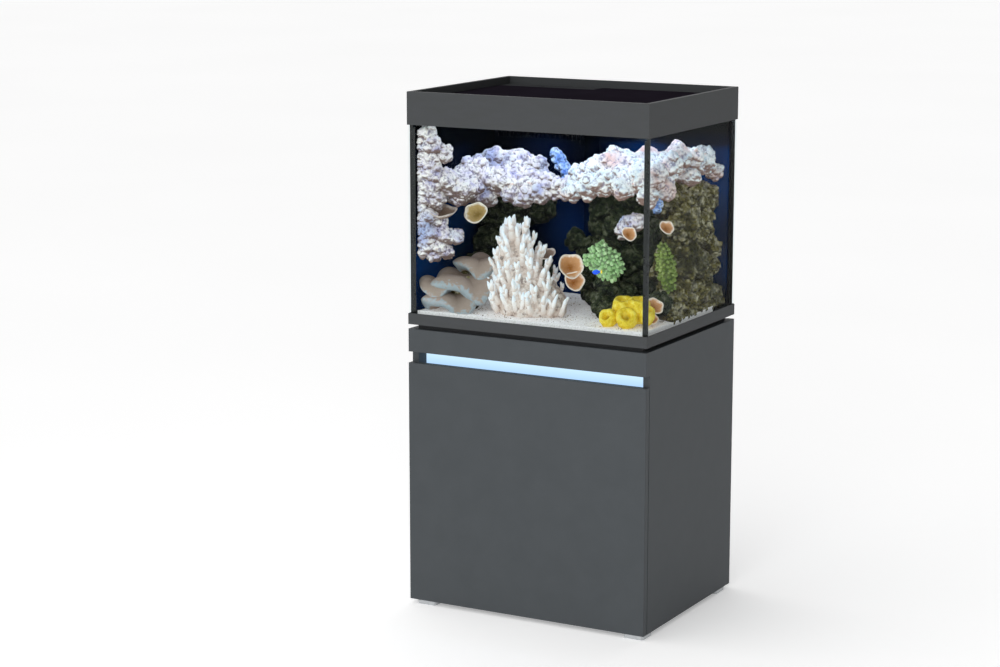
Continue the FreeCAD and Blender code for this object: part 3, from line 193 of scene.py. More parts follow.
# The same acrylic in smoke grey: the service flap.
smoke_acrylic = solid("smoke_acrylic", "#3A3B3D", "#424345", 120 * MM, 0.3, 0.01 * MM,
                      spread=0.02, **{"Specular IOR Level": 0.0})
# Injection-moulded polypropylene in dark blue-grey: pump housing.
pump_plastic = solid("pump_plastic", "#1E2228", "#262B33", 3 * MM, 0.5, 0.03 * MM)
# Tinted acrylic tube: skimmer body and cup.
skimmer_acrylic = solid("skimmer_acrylic", "#2F3B48", "#3A4756", 60 * MM, 0.15,
                        0.01 * MM, **{"Coat Weight": 0.5, "Coat Roughness": 0.1})


def night_blue(name, roughness, blue, right_painted_light):
    """A dark backdrop with painted blue light of the lit water: a cloudy band above the rocks, black higher
    up, bluer on the right.
    """
    material, tree, output = new_material(name)
    place = add(tree, "ShaderNodeTexCoord").outputs["Object"]
    axes = add(tree, "ShaderNodeSeparateXYZ", None, {0: place}).outputs
    low, high = TANK_LOW.z, TANK_HIGH.z
    fade_from, fade_to = low + 0.80 * (high - low), high - 30 * MM
    right_from, right_to = TANK_LOW.x + 380 * MM, TANK_LOW.x + 560 * MM
    cloud_size = 240 * MM
    fade = span(tree, axes["Z"], 1.0, 0.0, fade_from, fade_to)
    cloud = add(tree, "ShaderNodeMath", None, {0: grain(tree, cloud_size, 0.5), 1: fade},
                operation="MULTIPLY").outputs[0]
    # More painted blue light towards the right.
    right = span(tree, axes["X"], 0.0, right_painted_light, right_from, right_to)
    total = add(tree, "ShaderNodeMath", None, {0: cloud, 1: right}, operation="ADD").outputs[0]
    shader = add(tree, "ShaderNodeBsdfPrincipled", {"Roughness": roughness, "Specular IOR Level": 0.02},
                 {"Base Color": ramp(tree, total, [(0.3, "#010307"), (0.52, "#04102A"),
                                                   (0.75, blue)])})
    tree.links.new(shader.outputs[0], output.inputs[0])
    return material


def float_glass(name, tint, head_on, grazing):
    """Float glass, drawn and polished: see-through, with a faint mirror that grows at a slant.

    head_on and grazing are the mirror's shares when the pane is seen square and edge-on.
    """
    material, tree, output = new_material(name)
    wave = grain(tree, 300 * MM, 1.0)
    slant = add(tree, "ShaderNodeLayerWeight", {"Blend": 0.5}).outputs["Facing"]
    fifth = add(tree, "ShaderNodeMath", {1: 5.0}, {0: slant}, operation="POWER").outputs[0]
    share = span(tree, fifth, head_on, grazing)
    clear = add(tree, "ShaderNodeBsdfTransparent", {"Color": tone(tint)})
    mirror = add(tree, "ShaderNodeBsdfGlossy", {"Color": (1, 1, 1, 1), "Roughness": 0.02},
                 {"Normal": bump(tree, wave, 0.02 * MM)})
    both = add(tree, "ShaderNodeMixShader", None,
               {0: share, 1: clear.outputs[0], 2: mirror.outputs[0]})
    tree.links.new(both.outputs[0], output.inputs[0])
    return material


def lit_panel(name, top, bottom, node, strength):
    """Opal acrylic, lit from behind by a strip: brightest at the strip, cooler away from it."""
    material, tree, output = new_material(name)
    low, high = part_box(node)
    place = add(tree, "ShaderNodeTexCoord").outputs["Object"]
    height = add(tree, "ShaderNodeSeparateXYZ", None, {0: place}).outputs["Z"]
    rise = span(tree, height, 0.0, 1.0, low.z, high.z)
    colour = ramp(tree, rise, [(0.0, bottom), (1.0, top)])
    glow = add(tree, "ShaderNodeEmission", {"Strength": strength}, {"Color": colour})
    tree.links.new(glow.outputs[0], output.inputs[0])
    return material


# PVC film, calendered and glued behind the glass, with painted blue light of the lit water on it.
pvc_film = night_blue("pvc_film", 0.6, "#0E4284", 0.16)
# Black acrylic sheet, sawn and glued: the overflow walls, painted with the blue light of the lit water.
black_acrylic = night_blue("black_acrylic", 0.5, "#0A2C5E", 0.0)
# Tank glass is low-iron: no green cast. The braces lie flat under the lamps and mirror less.
# The filter tank is plain float, a little green.
tank_glass = float_glass("tank_glass", "#FAFDFD", 0.0015, 0.1)
brace_glass = float_glass("brace_glass", "#F6FBFB", 0.001, 0.01)
sump_glass = float_glass("sump_glass", "#DCEDE8", 0.04, 0.9)
# Opal acrylic of the grip groove and of the lamps, blue-white.
groove_light = lit_panel("groove_light", "#D2F0FF", "#A6CBF7", "groove_diffuser", 1.15)
lamp_light = lit_panel("lamp_light", "#DCE9FF", "#DCE9FF", "lamp_lenses", 6.5)

# Every CAD node by its finish. The nodes that the reef pieces replace are covered further down.
FINISHES = {
    lacquered_mdf: ("side_panel_left", "side_panel_right", "top_panel", "bottom_panel", "front_fascia",
                    "door_panel", "header_rail", "groove_floor", "groove_back"),
    foiled_mdf: ("plinth_board",),
    hardboard: ("back_panel",),
    extruded_trim: ("hood_front", "hood_right", "hood_back", "hood_left", "hood_bridge",
                    "trim_front", "trim_right", "trim_back", "trim_left"),
    tank_glass: ("front_glass", "back_glass", "left_glass", "right_glass", "base_glass"),
    brace_glass: ("glass_braces",),
    sump_glass: ("filter_tank",),
    silicone: ("silicone_seams",),
    pvc_film: ("back_film",),
    tinted_acrylic: ("front_lid", "rear_cover"),
    smoke_acrylic: ("service_flap",),
    anodised_aluminium: ("lamp_bars",),
    lamp_light: ("lamp_lenses",),
    groove_light: ("groove_diffuser",),
    circuit_strip: ("light_strip",),
    zinc_steel: ("pivot_pins", "pivot_leaves", "wood_screws", "strike_plate", "lid_pins"),
    moulded_nylon: ("pivot_bushes",),
    moulded_abs: ("magnetic_catch",),
    black_rubber: ("door_buffers", "cable_grommet"),
    cast_aluminium: ("feet",),
    black_acrylic: ("shaft_front_wall", "shaft_side_wall"),
    grey_pvc: ("drain_pipe", "return_pipe", "pipe_fittings"),
    needle_felt: ("filter_sock",),
    pump_plastic: ("return_pump",),
    skimmer_acrylic: ("skimmer_body", "skimmer_cup"),
}
for finish, names in FINISHES.items():
    for name in names:
        nodes[name].data.materials.clear()
        nodes[name].data.materials.append(finish)

# --------------------------------------------------------------------------- reef finishes


def reef_material(name, crust, hollow_shade, underside_shade=None, size=26 * MM, roughness=0.8, glow=0.0,
                  dark_below=0.3, drift=None):
    """A living surface: crust colours by a noise, with painted shade in its hollows and on its
    undersides, and a painted glow from its own emission.

    Where a slow noise is high, the crust turns to the drift colour.
    """
    material, tree, output = new_material(name)
    crest = add(tree, "ShaderNodeAttribute", attribute_name="crest").outputs["Fac"]
    patch = grain(tree, size, 5.0, rough=0.7)
    fine = grain(tree, 3 * MM, 3.0)
    body = ramp(tree, patch, crust)
    if drift:
        slow = span(tree, grain(tree, 110 * MM, 2.0), 0.0, 0.75, 0.5, 0.66)
        body = add(tree, "ShaderNodeMix", {7: tone(drift)}, {0: slow, 6: body},
                   data_type="RGBA").outputs[2]
    # Painted shade: where crest is low, in the hollows, the colour turns to the painted hollow shade colour.
    shade = span(tree, crest, 0.85, 0.0, 0.0, dark_below)
    sunk = add(tree, "ShaderNodeMix", {7: tone(hollow_shade)}, {0: shade, 6: body},
               data_type="RGBA").outputs[2]
    colour = sunk
    # Painted shade on the undersides: faces that point down take the painted underside shade colour.
    if underside_shade:
        facing = add(tree, "ShaderNodeSeparateXYZ", None,
                     {0: add(tree, "ShaderNodeNewGeometry").outputs["Normal"]}).outputs["Z"]
        turned = add(tree, "ShaderNodeMath", {1: 0.55}, {0: patch}, operation="MULTIPLY").outputs[0]
        lean = add(tree, "ShaderNodeMath", None, {0: facing, 1: turned}, operation="ADD").outputs[0]
        down = span(tree, lean, 0.92, 0.0, -0.25, 0.35)
        colour = add(tree, "ShaderNodeMix", {7: tone(underside_shade)}, {0: down, 6: sunk},
                     data_type="RGBA").outputs[2]
    # Painted glow: the surface emits its own colour although it is no lamp.
    shader = add(tree, "ShaderNodeBsdfPrincipled",
                 {"Specular IOR Level": 0.25, "Emission Strength": glow},
                 {"Base Color": colour, "Emission Color": colour,
                  "Roughness": span(tree, fine, roughness - 0.1, min(1, roughness + 0.1), 0.3, 0.7),
                  "Normal": bump(tree, fine, 0.8 * MM)})
    tree.links.new(shader.outputs[0], output.inputs[0])
    return material


# Live rock crusted by coralline algae and fine polyps: white, lilac and peach, with painted shade
# in its pores, a warm brown painted shade on its undersides, and a painted glow.
lilac_rock = reef_material("lilac_rock", [(0.3, "#A8A6D2"), (0.41, "#D9D2E6"), (0.5, "#F6EEF0"),
                                          (0.6, "#FFFCFA"), (0.72, "#F0CDBF")],
                           "#5A4E70", "#6A5248", size=34 * MM, glow=0.10,
                           drift="#8EA6DC")
# The same rock where white polyps cover it, with the same painted shade and a painted glow.
white_rock = reef_material("white_rock", [(0.3, "#BFD3E6"), (0.44, "#EEF4F8"), (0.6, "#FFFEFD"),
                                          (0.72, "#EDBFAE")], "#76708E", "#7C5A4C", size=34 * MM,
                           glow=0.12, drift="#E8BDB4")
# Rock in the shade, grown over by olive and brown turf algae with cream patches; painted shade
# in its hollows and on its undersides, and a faint painted glow.
olive_rock = reef_material("olive_rock", [(0.28, "#1D1808"), (0.4, "#5A5020"), (0.5, "#8F8552"),
                                          (0.6, "#D8D0B4"), (0.74, "#5A3420")],
                           "#0E0C07", "#221B0C", size=30 * MM, glow=0.03, dark_below=0.5,
                           drift="#3A3B22")
# Rock that stands in the shade of the shelf: the same turf algae, painted dark and greenish as
# painted shade, with painted shade in its hollows and on its undersides.
shaded_rock = reef_material("shaded_rock", [(0.28, "#0C1210"), (0.42, "#26301F"), (0.54, "#4A4F38"),
                                            (0.66, "#777A66"), (0.78, "#3A2318")],
                            "#050807", "#0A100E", size=22 * MM, glow=0.0)
# Rock in actinic light: the blue on its crests is painted actinic light, with painted shade in its
# hollows and on its undersides, and a painted glow.
blue_rock = reef_material("blue_rock", [(0.3, "#3A62BE"), (0.45, "#86ABEA"), (0.6, "#D6E6FA"),
                                        (0.72, "#8E86D6")], "#1B2A66", "#1A2340", glow=0.2)
# Foot of the finger coral: porous skeleton, cream and brownish pink between the fingers, with
# painted shade in its pores and a faint painted glow.
coral_foot = reef_material("coral_foot", [(0.3, "#BFA99D"), (0.45, "#DCCBC0"), (0.6, "#F2E9E3"),
                                          (0.75, "#CDB8AE")], "#7A655C", size=20 * MM, glow=0.05)
# Green cluster coral: fleshy mint bulbs; painted shade darkens the form between them, towards the
# stalk, and they have a painted glow.
mint_polyp = reef_material("mint_polyp", [(0.3, "#7E9E68"), (0.5, "#A3CC90"), (0.7, "#E4F4CC")],
                           "#27351F", size=12 * MM, roughness=0.5, glow=0.08, dark_below=0.6)
# Green leather coral at the side: olive to yellow-green fingers; painted shade darkens the form
# between them, and they have a faint painted glow.
moss_polyp = reef_material("moss_polyp", [(0.3, "#55702E"), (0.5, "#869A4C"), (0.7, "#B9C77E")],
                           "#1C2810", size=20 * MM, roughness=0.7, glow=0.03, dark_below=0.6)
# Tube sponge: yellow, finely pitted, with painted shade deep in its funnels and a faint painted glow.
yellow_sponge = reef_material("yellow_sponge", [(0.3, "#C9A318"), (0.5, "#F0D43C"), (0.7, "#FBF07A")],
                              "#4A3206", size=14 * MM, roughness=0.75, glow=0.04)
# Aragonite sand: pale grains with grey and ochre specks, and a painted glow.
coral_sand = reef_material("coral_sand", [(0.25, "#B7B0AE"), (0.42, "#E7E2E2"), (0.6, "#FBF8F8"),
                                          (0.78, "#CFC3B6")], "#A9A2A4", size=4 * MM,
                           roughness=0.9, glow=0.22)
# Chips of dead coral and shell on the sand: grey, ochre and rust among the white, with a faint
# painted glow.
coral_chips = reef_material("coral_chips", [(0.34, "#5E5850"), (0.46, "#9A8E80"), (0.54, "#E9E4DF"),
                                            (0.66, "#B28A68")], "#6A645C", size=9 * MM,
                            roughness=0.9, glow=0.02)


def rimmed_material(name, inner, middle, rim, glow, fold=0.8):
    """A plate or leaf that is one colour inside and pale along its rim, by its own attribute.

    The middle colour stands at fold, as a share of the way from the centre to the rim.
    """
    material, tree, output = new_material(name)
    edge = add(tree, "ShaderNodeAttribute", attribute_name="rim").outputs["Fac"]
    patch = grain(tree, 9 * MM, 4.0)
    shaken = add(tree, "ShaderNodeMath", {1: -0.08}, {0: span(tree, patch, 0.0, 0.2, 0.3, 0.7)},
                 operation="ADD").outputs[0]
    total = add(tree, "ShaderNodeMath", None, {0: edge, 1: shaken}, operation="ADD").outputs[0]
    colour = ramp(tree, total, [(0.0, inner), (fold, middle), (0.99, rim)])
    # Painted glow: the surface emits its own colour although it is no lamp.
    shader = add(tree, "ShaderNodeBsdfPrincipled",
                 {"Specular IOR Level": 0.3, "Emission Strength": glow},
                 {"Base Color": colour, "Emission Color": colour,
                  "Roughness": span(tree, patch, 0.5, 0.7), "Normal": bump(tree, patch, 0.5 * MM)})
    tree.links.new(shader.outputs[0], output.inputs[0])
    return material


# Leather coral: soft brown-grey folds; the pale blue along the edge is a painted highlight, and
# the coral has a faint painted glow.
leather_flesh = rimmed_material("leather_flesh", "#7C685C", "#A8968A", "#A2ADB3", 0.05,
                                fold=0.93)
# Cup corals: ochre, orange and tan plates with a white growing edge, and a painted glow.
ochre_cup = rimmed_material("ochre_cup", "#7A6028", "#B79A62", "#EFE8DC", 0.08)
brown_cup = rimmed_material("brown_cup", "#6B5446", "#8E7768", "#D9CCC4", 0.05)
orange_cup = rimmed_material("orange_cup", "#9A5A1A", "#D8A272", "#FBEFE4", 0.1)
# Stony finger coral: white porous fingers, cream at their roots and cold white at the ends, with a
# painted glow.
finger_stone = rimmed_material("finger_stone", "#D8C8BD", "#F6F2F0", "#EEF7FF", 0.12, fold=0.6)
# Small reef fish: a royal blue body, painted paler on its back as light from above, with a yellow
# tail and a strong painted glow.
fish_scales = rimmed_material("fish_scales", "#0F3FD8", "#3F7CFF", "#F2D33A", 0.4)

# ------------------------------------------------------------------------ piece helpers


def piece(name, mesh, material, replaced, body="cabinet"):
    """Put a finished mesh in the scene as a piece that rides on a body."""
    obj = bpy.data.objects.new(name, mesh)
    SCENE.collection.objects.link(obj)
    mesh.materials.clear()
    mesh.materials.append(material)
    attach(obj, body)
    if replaced:
        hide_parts(replaced)
    return obj


def grown(name, seed_mesh, tree, values):
    """Run a geometry tree on a mesh and return the result as a plain mesh."""
    holder = bpy.data.objects.new(name + "_seed", seed_mesh)
    SCENE.collection.objects.link(holder)
    modifier = holder.modifiers.new(name, "NODES")
    modifier.node_group = tree
    for item in tree.interface.items_tree:
        if item.item_type == "SOCKET" and item.in_out == "INPUT" and item.name in values:
            modifier[item.identifier] = values[item.name]
    bpy.context.view_layer.update()
    evaluated = holder.evaluated_get(bpy.context.evaluated_depsgraph_get())
    mesh = bpy.data.meshes.new_from_object(evaluated)
    bpy.data.objects.remove(holder)
    bpy.data.meshes.remove(seed_mesh)
    mesh.name = name
    return mesh


def mesh_of(name, made, smooth=False):
    """The plain mesh of a finished bmesh, which is freed."""
    mesh = bpy.data.meshes.new(name)
    made.to_mesh(mesh)
    made.free()
    if smooth:
        for face in mesh.polygons:
            face.use_smooth = True
    return mesh


def closed_skin(made, rings):
    """Quads between neighbouring rings of vertices, a cap on both ends, normals outwards."""
    for low, high in zip(rings, rings[1:]):
        around = len(low)
        for j in range(around):
            k = (j + 1) % around
            made.faces.new((low[j], low[k], high[k], high[j]))
    made.faces.new(rings[0])
    made.faces.new(rings[-1])
    bmesh.ops.recalc_face_normals(made, faces=made.faces)


def geometry_tree(name, inputs):
    """A new geometry tree with its group input and output, and the named inputs."""
    tree = bpy.data.node_groups.new(name, "GeometryNodeTree")
    tree.interface.new_socket("Geometry", in_out="INPUT", socket_type="NodeSocketGeometry")
    for label, kind in inputs:
        tree.interface.new_socket(label, in_out="INPUT", socket_type="NodeSocket" + kind)
    tree.interface.new_socket("Geometry", in_out="OUTPUT", socket_type="NodeSocketGeometry")
    return tree, add(tree, "NodeGroupInput").outputs, add(tree, "NodeGroupOutput")


def ending(tree, output, geometry, material):
    """Finish a tree with Realize Instances and Set Material."""
    real = add(tree, "GeometryNodeRealizeInstances", None, {"Geometry": geometry})
    painted = add(tree, "GeometryNodeSetMaterial", None,
                  {"Geometry": real.outputs[0], "Material": material})
    tree.links.new(painted.outputs[0], output.inputs[0])


def accretion_tree():
    """Rock or coral grown from balls: joined to one skin, then covered with knobs and grains."""
    tree, given, output = geometry_tree("accretion", [
        ("Voxel", "Float"), ("Knob Size", "Float"), ("Knob Height", "Float"),
        ("Grain Size", "Float"), ("Grain Height", "Float"), ("Seed", "Float"),
        ("Material", "Material")])
    radius = add(tree, "GeometryNodeInputNamedAttribute", {"Name": "radius"}, data_type="FLOAT")
    balls = add(tree, "GeometryNodeMeshToPoints", None,
                {"Mesh": given["Geometry"], "Radius": radius.outputs[0]})
    cloud = add(tree, "GeometryNodePointsToVolume", {"Density": 1.0},
                {"Points": balls.outputs[0], "Radius": radius.outputs[0],
                 "Voxel Size": given["Voxel"]}, resolution_mode="VOXEL_SIZE")
    skin = add(tree, "GeometryNodeVolumeToMesh", {"Threshold": 0.12, "Adaptivity": 0.0},
               {"Volume": cloud.outputs[0], "Voxel Size": given["Voxel"]},
               resolution_mode="VOXEL_SIZE")
    shift = add(tree, "ShaderNodeCombineXYZ", None, {"X": given["Seed"], "Y": given["Seed"]})
    at = add(tree, "ShaderNodeVectorMath", None,
             {0: add(tree, "GeometryNodeInputPosition").outputs[0], 1: shift.outputs[0]},
             operation="ADD").outputs[0]

    def cells(size, smooth):
        frequency = add(tree, "ShaderNodeMath", {0: 1.0}, {1: size}, operation="DIVIDE").outputs[0]
        found = add(tree, "ShaderNodeTexVoronoi", {"Smoothness": smooth, "Randomness": 1.0},
                    {"Vector": at, "Scale": frequency}, feature="SMOOTH_F1")
        return add(tree, "ShaderNodeMapRange", {1: 0.05, 2: 0.7, 3: 1.0, 4: 0.0},
                   {0: found.outputs["Distance"]}).outputs[0]

    knobs = cells(given["Knob Size"], 0.25)
    grains = cells(given["Grain Size"], 0.15)
    knob_rise = add(tree, "ShaderNodeMath", None, {0: knobs, 1: given["Knob Height"]},
                    operation="MULTIPLY").outputs[0]
    grain_rise = add(tree, "ShaderNodeMath", None, {0: grains, 1: given["Grain Height"]},
                     operation="MULTIPLY").outputs[0]
    rise = add(tree, "ShaderNodeMath", None, {0: knob_rise, 1: grain_rise}, operation="ADD").outputs[0]
    push = add(tree, "ShaderNodeVectorMath", None,
               {0: add(tree, "GeometryNodeInputNormal").outputs[0], "Scale": rise},
               operation="SCALE").outputs[0]
    # Painted shade: crest is low in the creases between knobs and grains, where the finishes darken.
    crest = add(tree, "ShaderNodeMath", {1: 0.5}, {0: add(tree, "ShaderNodeMath", None,
                {0: knobs, 1: grains}, operation="ADD").outputs[0]}, operation="MULTIPLY").outputs[0]
    kept = add(tree, "GeometryNodeStoreNamedAttribute", {"Name": "crest"},
               {"Geometry": skin.outputs[0], "Value": crest}, data_type="FLOAT", domain="POINT")
    moved = add(tree, "GeometryNodeSetPosition", None,
                {"Geometry": kept.outputs[0], "Offset": push})
    smooth = add(tree, "GeometryNodeSetShadeSmooth", None, {"Geometry": moved.outputs[0]})
    ending(tree, output, smooth.outputs[0], given["Material"])
    return tree


ACCRETION = accretion_tree()


def ball_mesh(name, balls):
    """Bare points with a radius each, as the seed of an accretion."""
    mesh = bpy.data.meshes.new(name)
    mesh.from_pydata([centre for centre, _ in balls], [], [])
    radius = mesh.attributes.new("radius", "FLOAT", "POINT")
    radius.data.foreach_set("value", [size for _, size in balls])
    return mesh


def accreted(name, balls, material, seed, voxel, knob, fine):
    """The balls as one knobbly skin; knob and fine are (size, height) of the two reliefs."""
    return grown(name, ball_mesh(name, balls), ACCRETION, {
        "Voxel": voxel, "Knob Size": knob[0], "Knob Height": knob[1], "Grain Size": fine[0],
        "Grain Height": fine[1], "Seed": seed, "Material": material})


def within_tank(centre, radius):
    """The centre, moved so that a ball of this radius stays clear of the panes.

    Below, it may stand in the sand by two thirds of its radius.
    """
    margin = radius + 3 * MM
    return Vector((min(max(centre.x, TANK_LOW.x + margin), TANK_HIGH.x - margin),
                   min(max(centre.y, TANK_LOW.y + margin), TANK_HIGH.y - margin),
                   max(centre.z, TANK_LOW.z + 0.35 * radius)))


def boulder(rng, centre, radius, satellites=9, lean=0.5):
    """A ball with smaller ones set half into its skin."""
    balls = [(centre, radius)]
    for _ in range(satellites):
        way = Vector((rng.gauss(0, 1), rng.gauss(0, 1), rng.gauss(0, 1))).normalized()
        size = radius * rng.uniform(0.28, lean)
        balls.append((centre + way * radius * rng.uniform(0.75, 1.0), size))
    return balls


def rock(name, seed, boulders, material, voxel=2.7 * MM, knob=(13 * MM, 5.5 * MM),
         fine=(5.2 * MM, 3.2 * MM), satellites=16, sunk=0.0):
    """Rock from a given list of (x, y, z, radius) boulders, in tank millimetres.

    The whole is lowered into the sand by sunk.
    """
    rng = random.Random(seed)
    balls = []
    for x, y, z, r in boulders:
        balls += boulder(rng, spot(x, y, z), r * MM, satellites)
    down = Vector((0, 0, sunk))
    balls = [(within_tank(centre, size + knob[1]) - down, size) for centre, size in balls]
    mesh = accreted(name, balls, material, float(seed), voxel, knob, fine)
    piece(name, mesh, material, "reef_rock")


# -------------------------------------------------------------------------- reef: rocks


def seam_crust(rng, low, high, step):
    """Small boulders up the corner between the front and the left pane."""
    rows = int((high - low) / step)
    return [(14 + rng.uniform(-2, 2), 13 + rng.uniform(-2, 4), low + step * i, rng.uniform(9, 13))
            for i in range(rows + 1)]


def pane_crust(rng, front, back, step):
    """Small boulders along the foot of the right pane."""
    rows = int((back - front) / step)
    return [(660 + rng.uniform(-4, 2), front + step * i, rng.uniform(0, 10), rng.uniform(8, 12))
            for i in range(rows + 1)]


# The crusted column that climbs the front left corner, and the shelf that runs right from it.
rock("rock_left_column", 11, [
    (28, 28, 468, 20), (36, 34, 436, 26), (62, 52, 414, 20), (32, 32, 398, 24), (34, 36, 366, 28),
    (64, 58, 344, 30), (96, 84, 322, 30), (34, 36, 328, 28), (40, 42, 296, 26), (80, 96, 300, 24),
    (26, 28, 250, 20), (40, 60, 222, 22), (30, 30, 205, 22), (62, 50, 198, 22), (86, 70, 192, 18),
    (26, 28, 172, 20), (52, 44, 164, 20), (66, 60, 152, 16), (40, 40, 146, 16), (70, 150, 320, 44),
    (80, 180, 350, 40)] + seam_crust(random.Random(51), 150, 480, 20),
     lilac_rock, knob=(12 * MM, 4 * MM))
rock("rock_shelf_left", 12, [
    (50, 280, 340, 38), (100, 285, 358, 42), (150, 285, 362, 42), (198, 280, 348, 40),
    (238, 270, 325, 34), (60, 195, 305, 34), (105, 195, 318, 34), (150, 195, 330, 36),
    (196, 195, 326, 36), (240, 195, 326, 34), (284, 200, 330, 30), (316, 205, 322, 24),
    (205, 172, 306, 24), (244, 172, 302, 24), (284, 176, 310, 24), (120, 175, 290, 24),
    (345, 215, 322, 26), (180, 240, 340, 46)], lilac_rock)
# The white mound on the right, which turns back along the right pane.
rock("rock_white_mound", 13, [
    (394, 205, 352, 32), (435, 205, 374, 36), (478, 205, 386, 40), (520, 205, 382, 38),
    (560, 200, 372, 36), (392, 155, 326, 24), (440, 152, 340, 28), (488, 152, 356, 30),
    (534, 150, 366, 30), (586, 146, 372, 32), (622, 110, 372, 30), (630, 150, 385, 30),
    (632, 225, 396, 30), (622, 300, 410, 32), (634, 372, 396, 30), (632, 440, 386, 30),
    (640, 500, 352, 18), (560, 280, 372, 52), (500, 280, 360, 50), (580, 370, 370, 44),
    (636, 190, 345, 26), (636, 350, 356, 24), (560, 110, 352, 24), (640, 90, 335, 22)],
     white_rock)
# The blue knob between shelf and mound, with a small one by the right pane.
rock("rock_blue_knob", 14, [
    (294, 240, 410, 12), (304, 240, 396, 14), (316, 240, 378, 16), (330, 238, 362, 16),
    (334, 236, 344, 14), (644, 140, 308, 12), (646, 128, 296, 9)],
     blue_rock, voxel=2.2 * MM, knob=(9 * MM, 3 * MM), fine=(4 * MM, 1.6 * MM))
# The pillar along the right pane, from the sand to the mound, and the crust at its foot.
rock("rock_right_pillar", 15, [
    (608, 305, 288, 40), (606, 368, 290, 48), (602, 460, 284, 46), (616, 322, 214, 36),
    (608, 384, 196, 50), (614, 452, 190, 38), (606, 312, 128, 50), (610, 396, 116, 50),
    (616, 470, 104, 40), (606, 350, 34, 54), (610, 430, 34, 50), (616, 486, 22, 40),
    (622, 280, 62, 38), (626, 262, 22, 32), (632, 236, 6, 24), (634, 210, 2, 18),
    (636, 344, 244, 30), (638, 420, 236, 28), (640, 268, 250, 18), (642, 482, 150, 20)],
     olive_rock, knob=(14 * MM, 8 * MM), fine=(6 * MM, 4 * MM))
rock("rock_pane_foot", 20, pane_crust(random.Random(52), 196, 506, 14), olive_rock,
     voxel=2.2 * MM, knob=(9 * MM, 3 * MM), fine=(4 * MM, 2 * MM), satellites=5, sunk=8 * MM)
# The two masses that carry the shelf and the mound, dark with painted shade.
rock("rock_left_pillar", 16, [
    (90, 340, 50, 72), (85, 345, 140, 66), (90, 340, 230, 64), (160, 320, 60, 60),
    (60, 240, 60, 50), (200, 330, 250, 40), (150, 300, 270, 46)], shaded_rock,
     knob=(18 * MM, 8 * MM))
rock("rock_right_shade", 18, [
    (400, 320, 60, 50), (395, 320, 140, 44), (400, 320, 215, 38), (430, 300, 275, 44),
    (455, 320, 90, 54), (460, 320, 170, 56), (470, 310, 245, 54), (510, 310, 60, 56),
    (515, 310, 140, 56), (520, 300, 220, 56), (530, 290, 290, 44), (330, 300, 172, 24),
    (360, 300, 150, 26)], shaded_rock, knob=(18 * MM, 8 * MM))
# The small ledge above the cluster coral.
rock("rock_violet_ledge", 19, [(540, 180, 240, 24), (562, 176, 250, 22), (520, 190, 226, 18)],
     lilac_rock, knob=(10 * MM, 4 * MM))

# ----------------------------------------------------------------------- reef: corals


def stem_tree():
    """Polylines with a radius at every point, swept to closed tapered stems."""
    tree, given, output = geometry_tree("stems", [("Sides", "Int"), ("Material", "Material")])
    line = add(tree, "GeometryNodeMeshToCurve", None, {"Mesh": given["Geometry"]})
    ring = add(tree, "GeometryNodeCurvePrimitiveCircle", {"Radius": 1.0},
               {"Resolution": given["Sides"]})
    radius = add(tree, "GeometryNodeInputNamedAttribute", {"Name": "radius"}, data_type="FLOAT")
    skin = add(tree, "GeometryNodeCurveToMesh", {"Fill Caps": True},
               {"Curve": line.outputs[0], "Profile Curve": ring.outputs[0],
                "Scale": radius.outputs[0]})
    smooth = add(tree, "GeometryNodeSetShadeSmooth", None, {"Geometry": skin.outputs[0]})
    ending(tree, output, smooth.outputs[0], given["Material"])
    return tree


def finger(rng, start, way, length, thick, branched):
    """Spines of one finger and its side fingers, as lists of (place, radius, share along)."""
    steps = 8
    spine = []
    at = start.copy()
    spines = []
    for i in range(steps + 1):
        share = i / steps
        swell = 1 + 0.16 * math.sin(9 * share + rng.uniform(0, 1))
        spine.append((at.copy(), thick * swell * math.sqrt(max(0.03, 1 - share ** 5)) *
                      (1 - 0.42 * share), share))
        if branched and i in (3, 5):
            aside = Vector((rng.gauss(0, 1), rng.gauss(0, 1), 1.2)).normalized()
            spines += finger(rng, at, (0.5 * way + aside).normalized(), 0.45 * length,
                             0.74 * thick, False)
        way = (way + Vector((rng.gauss(0, 0.06), rng.gauss(0, 0.06), 0.07))).normalized()
        at = at + way * length / steps
    return [spine] + spines


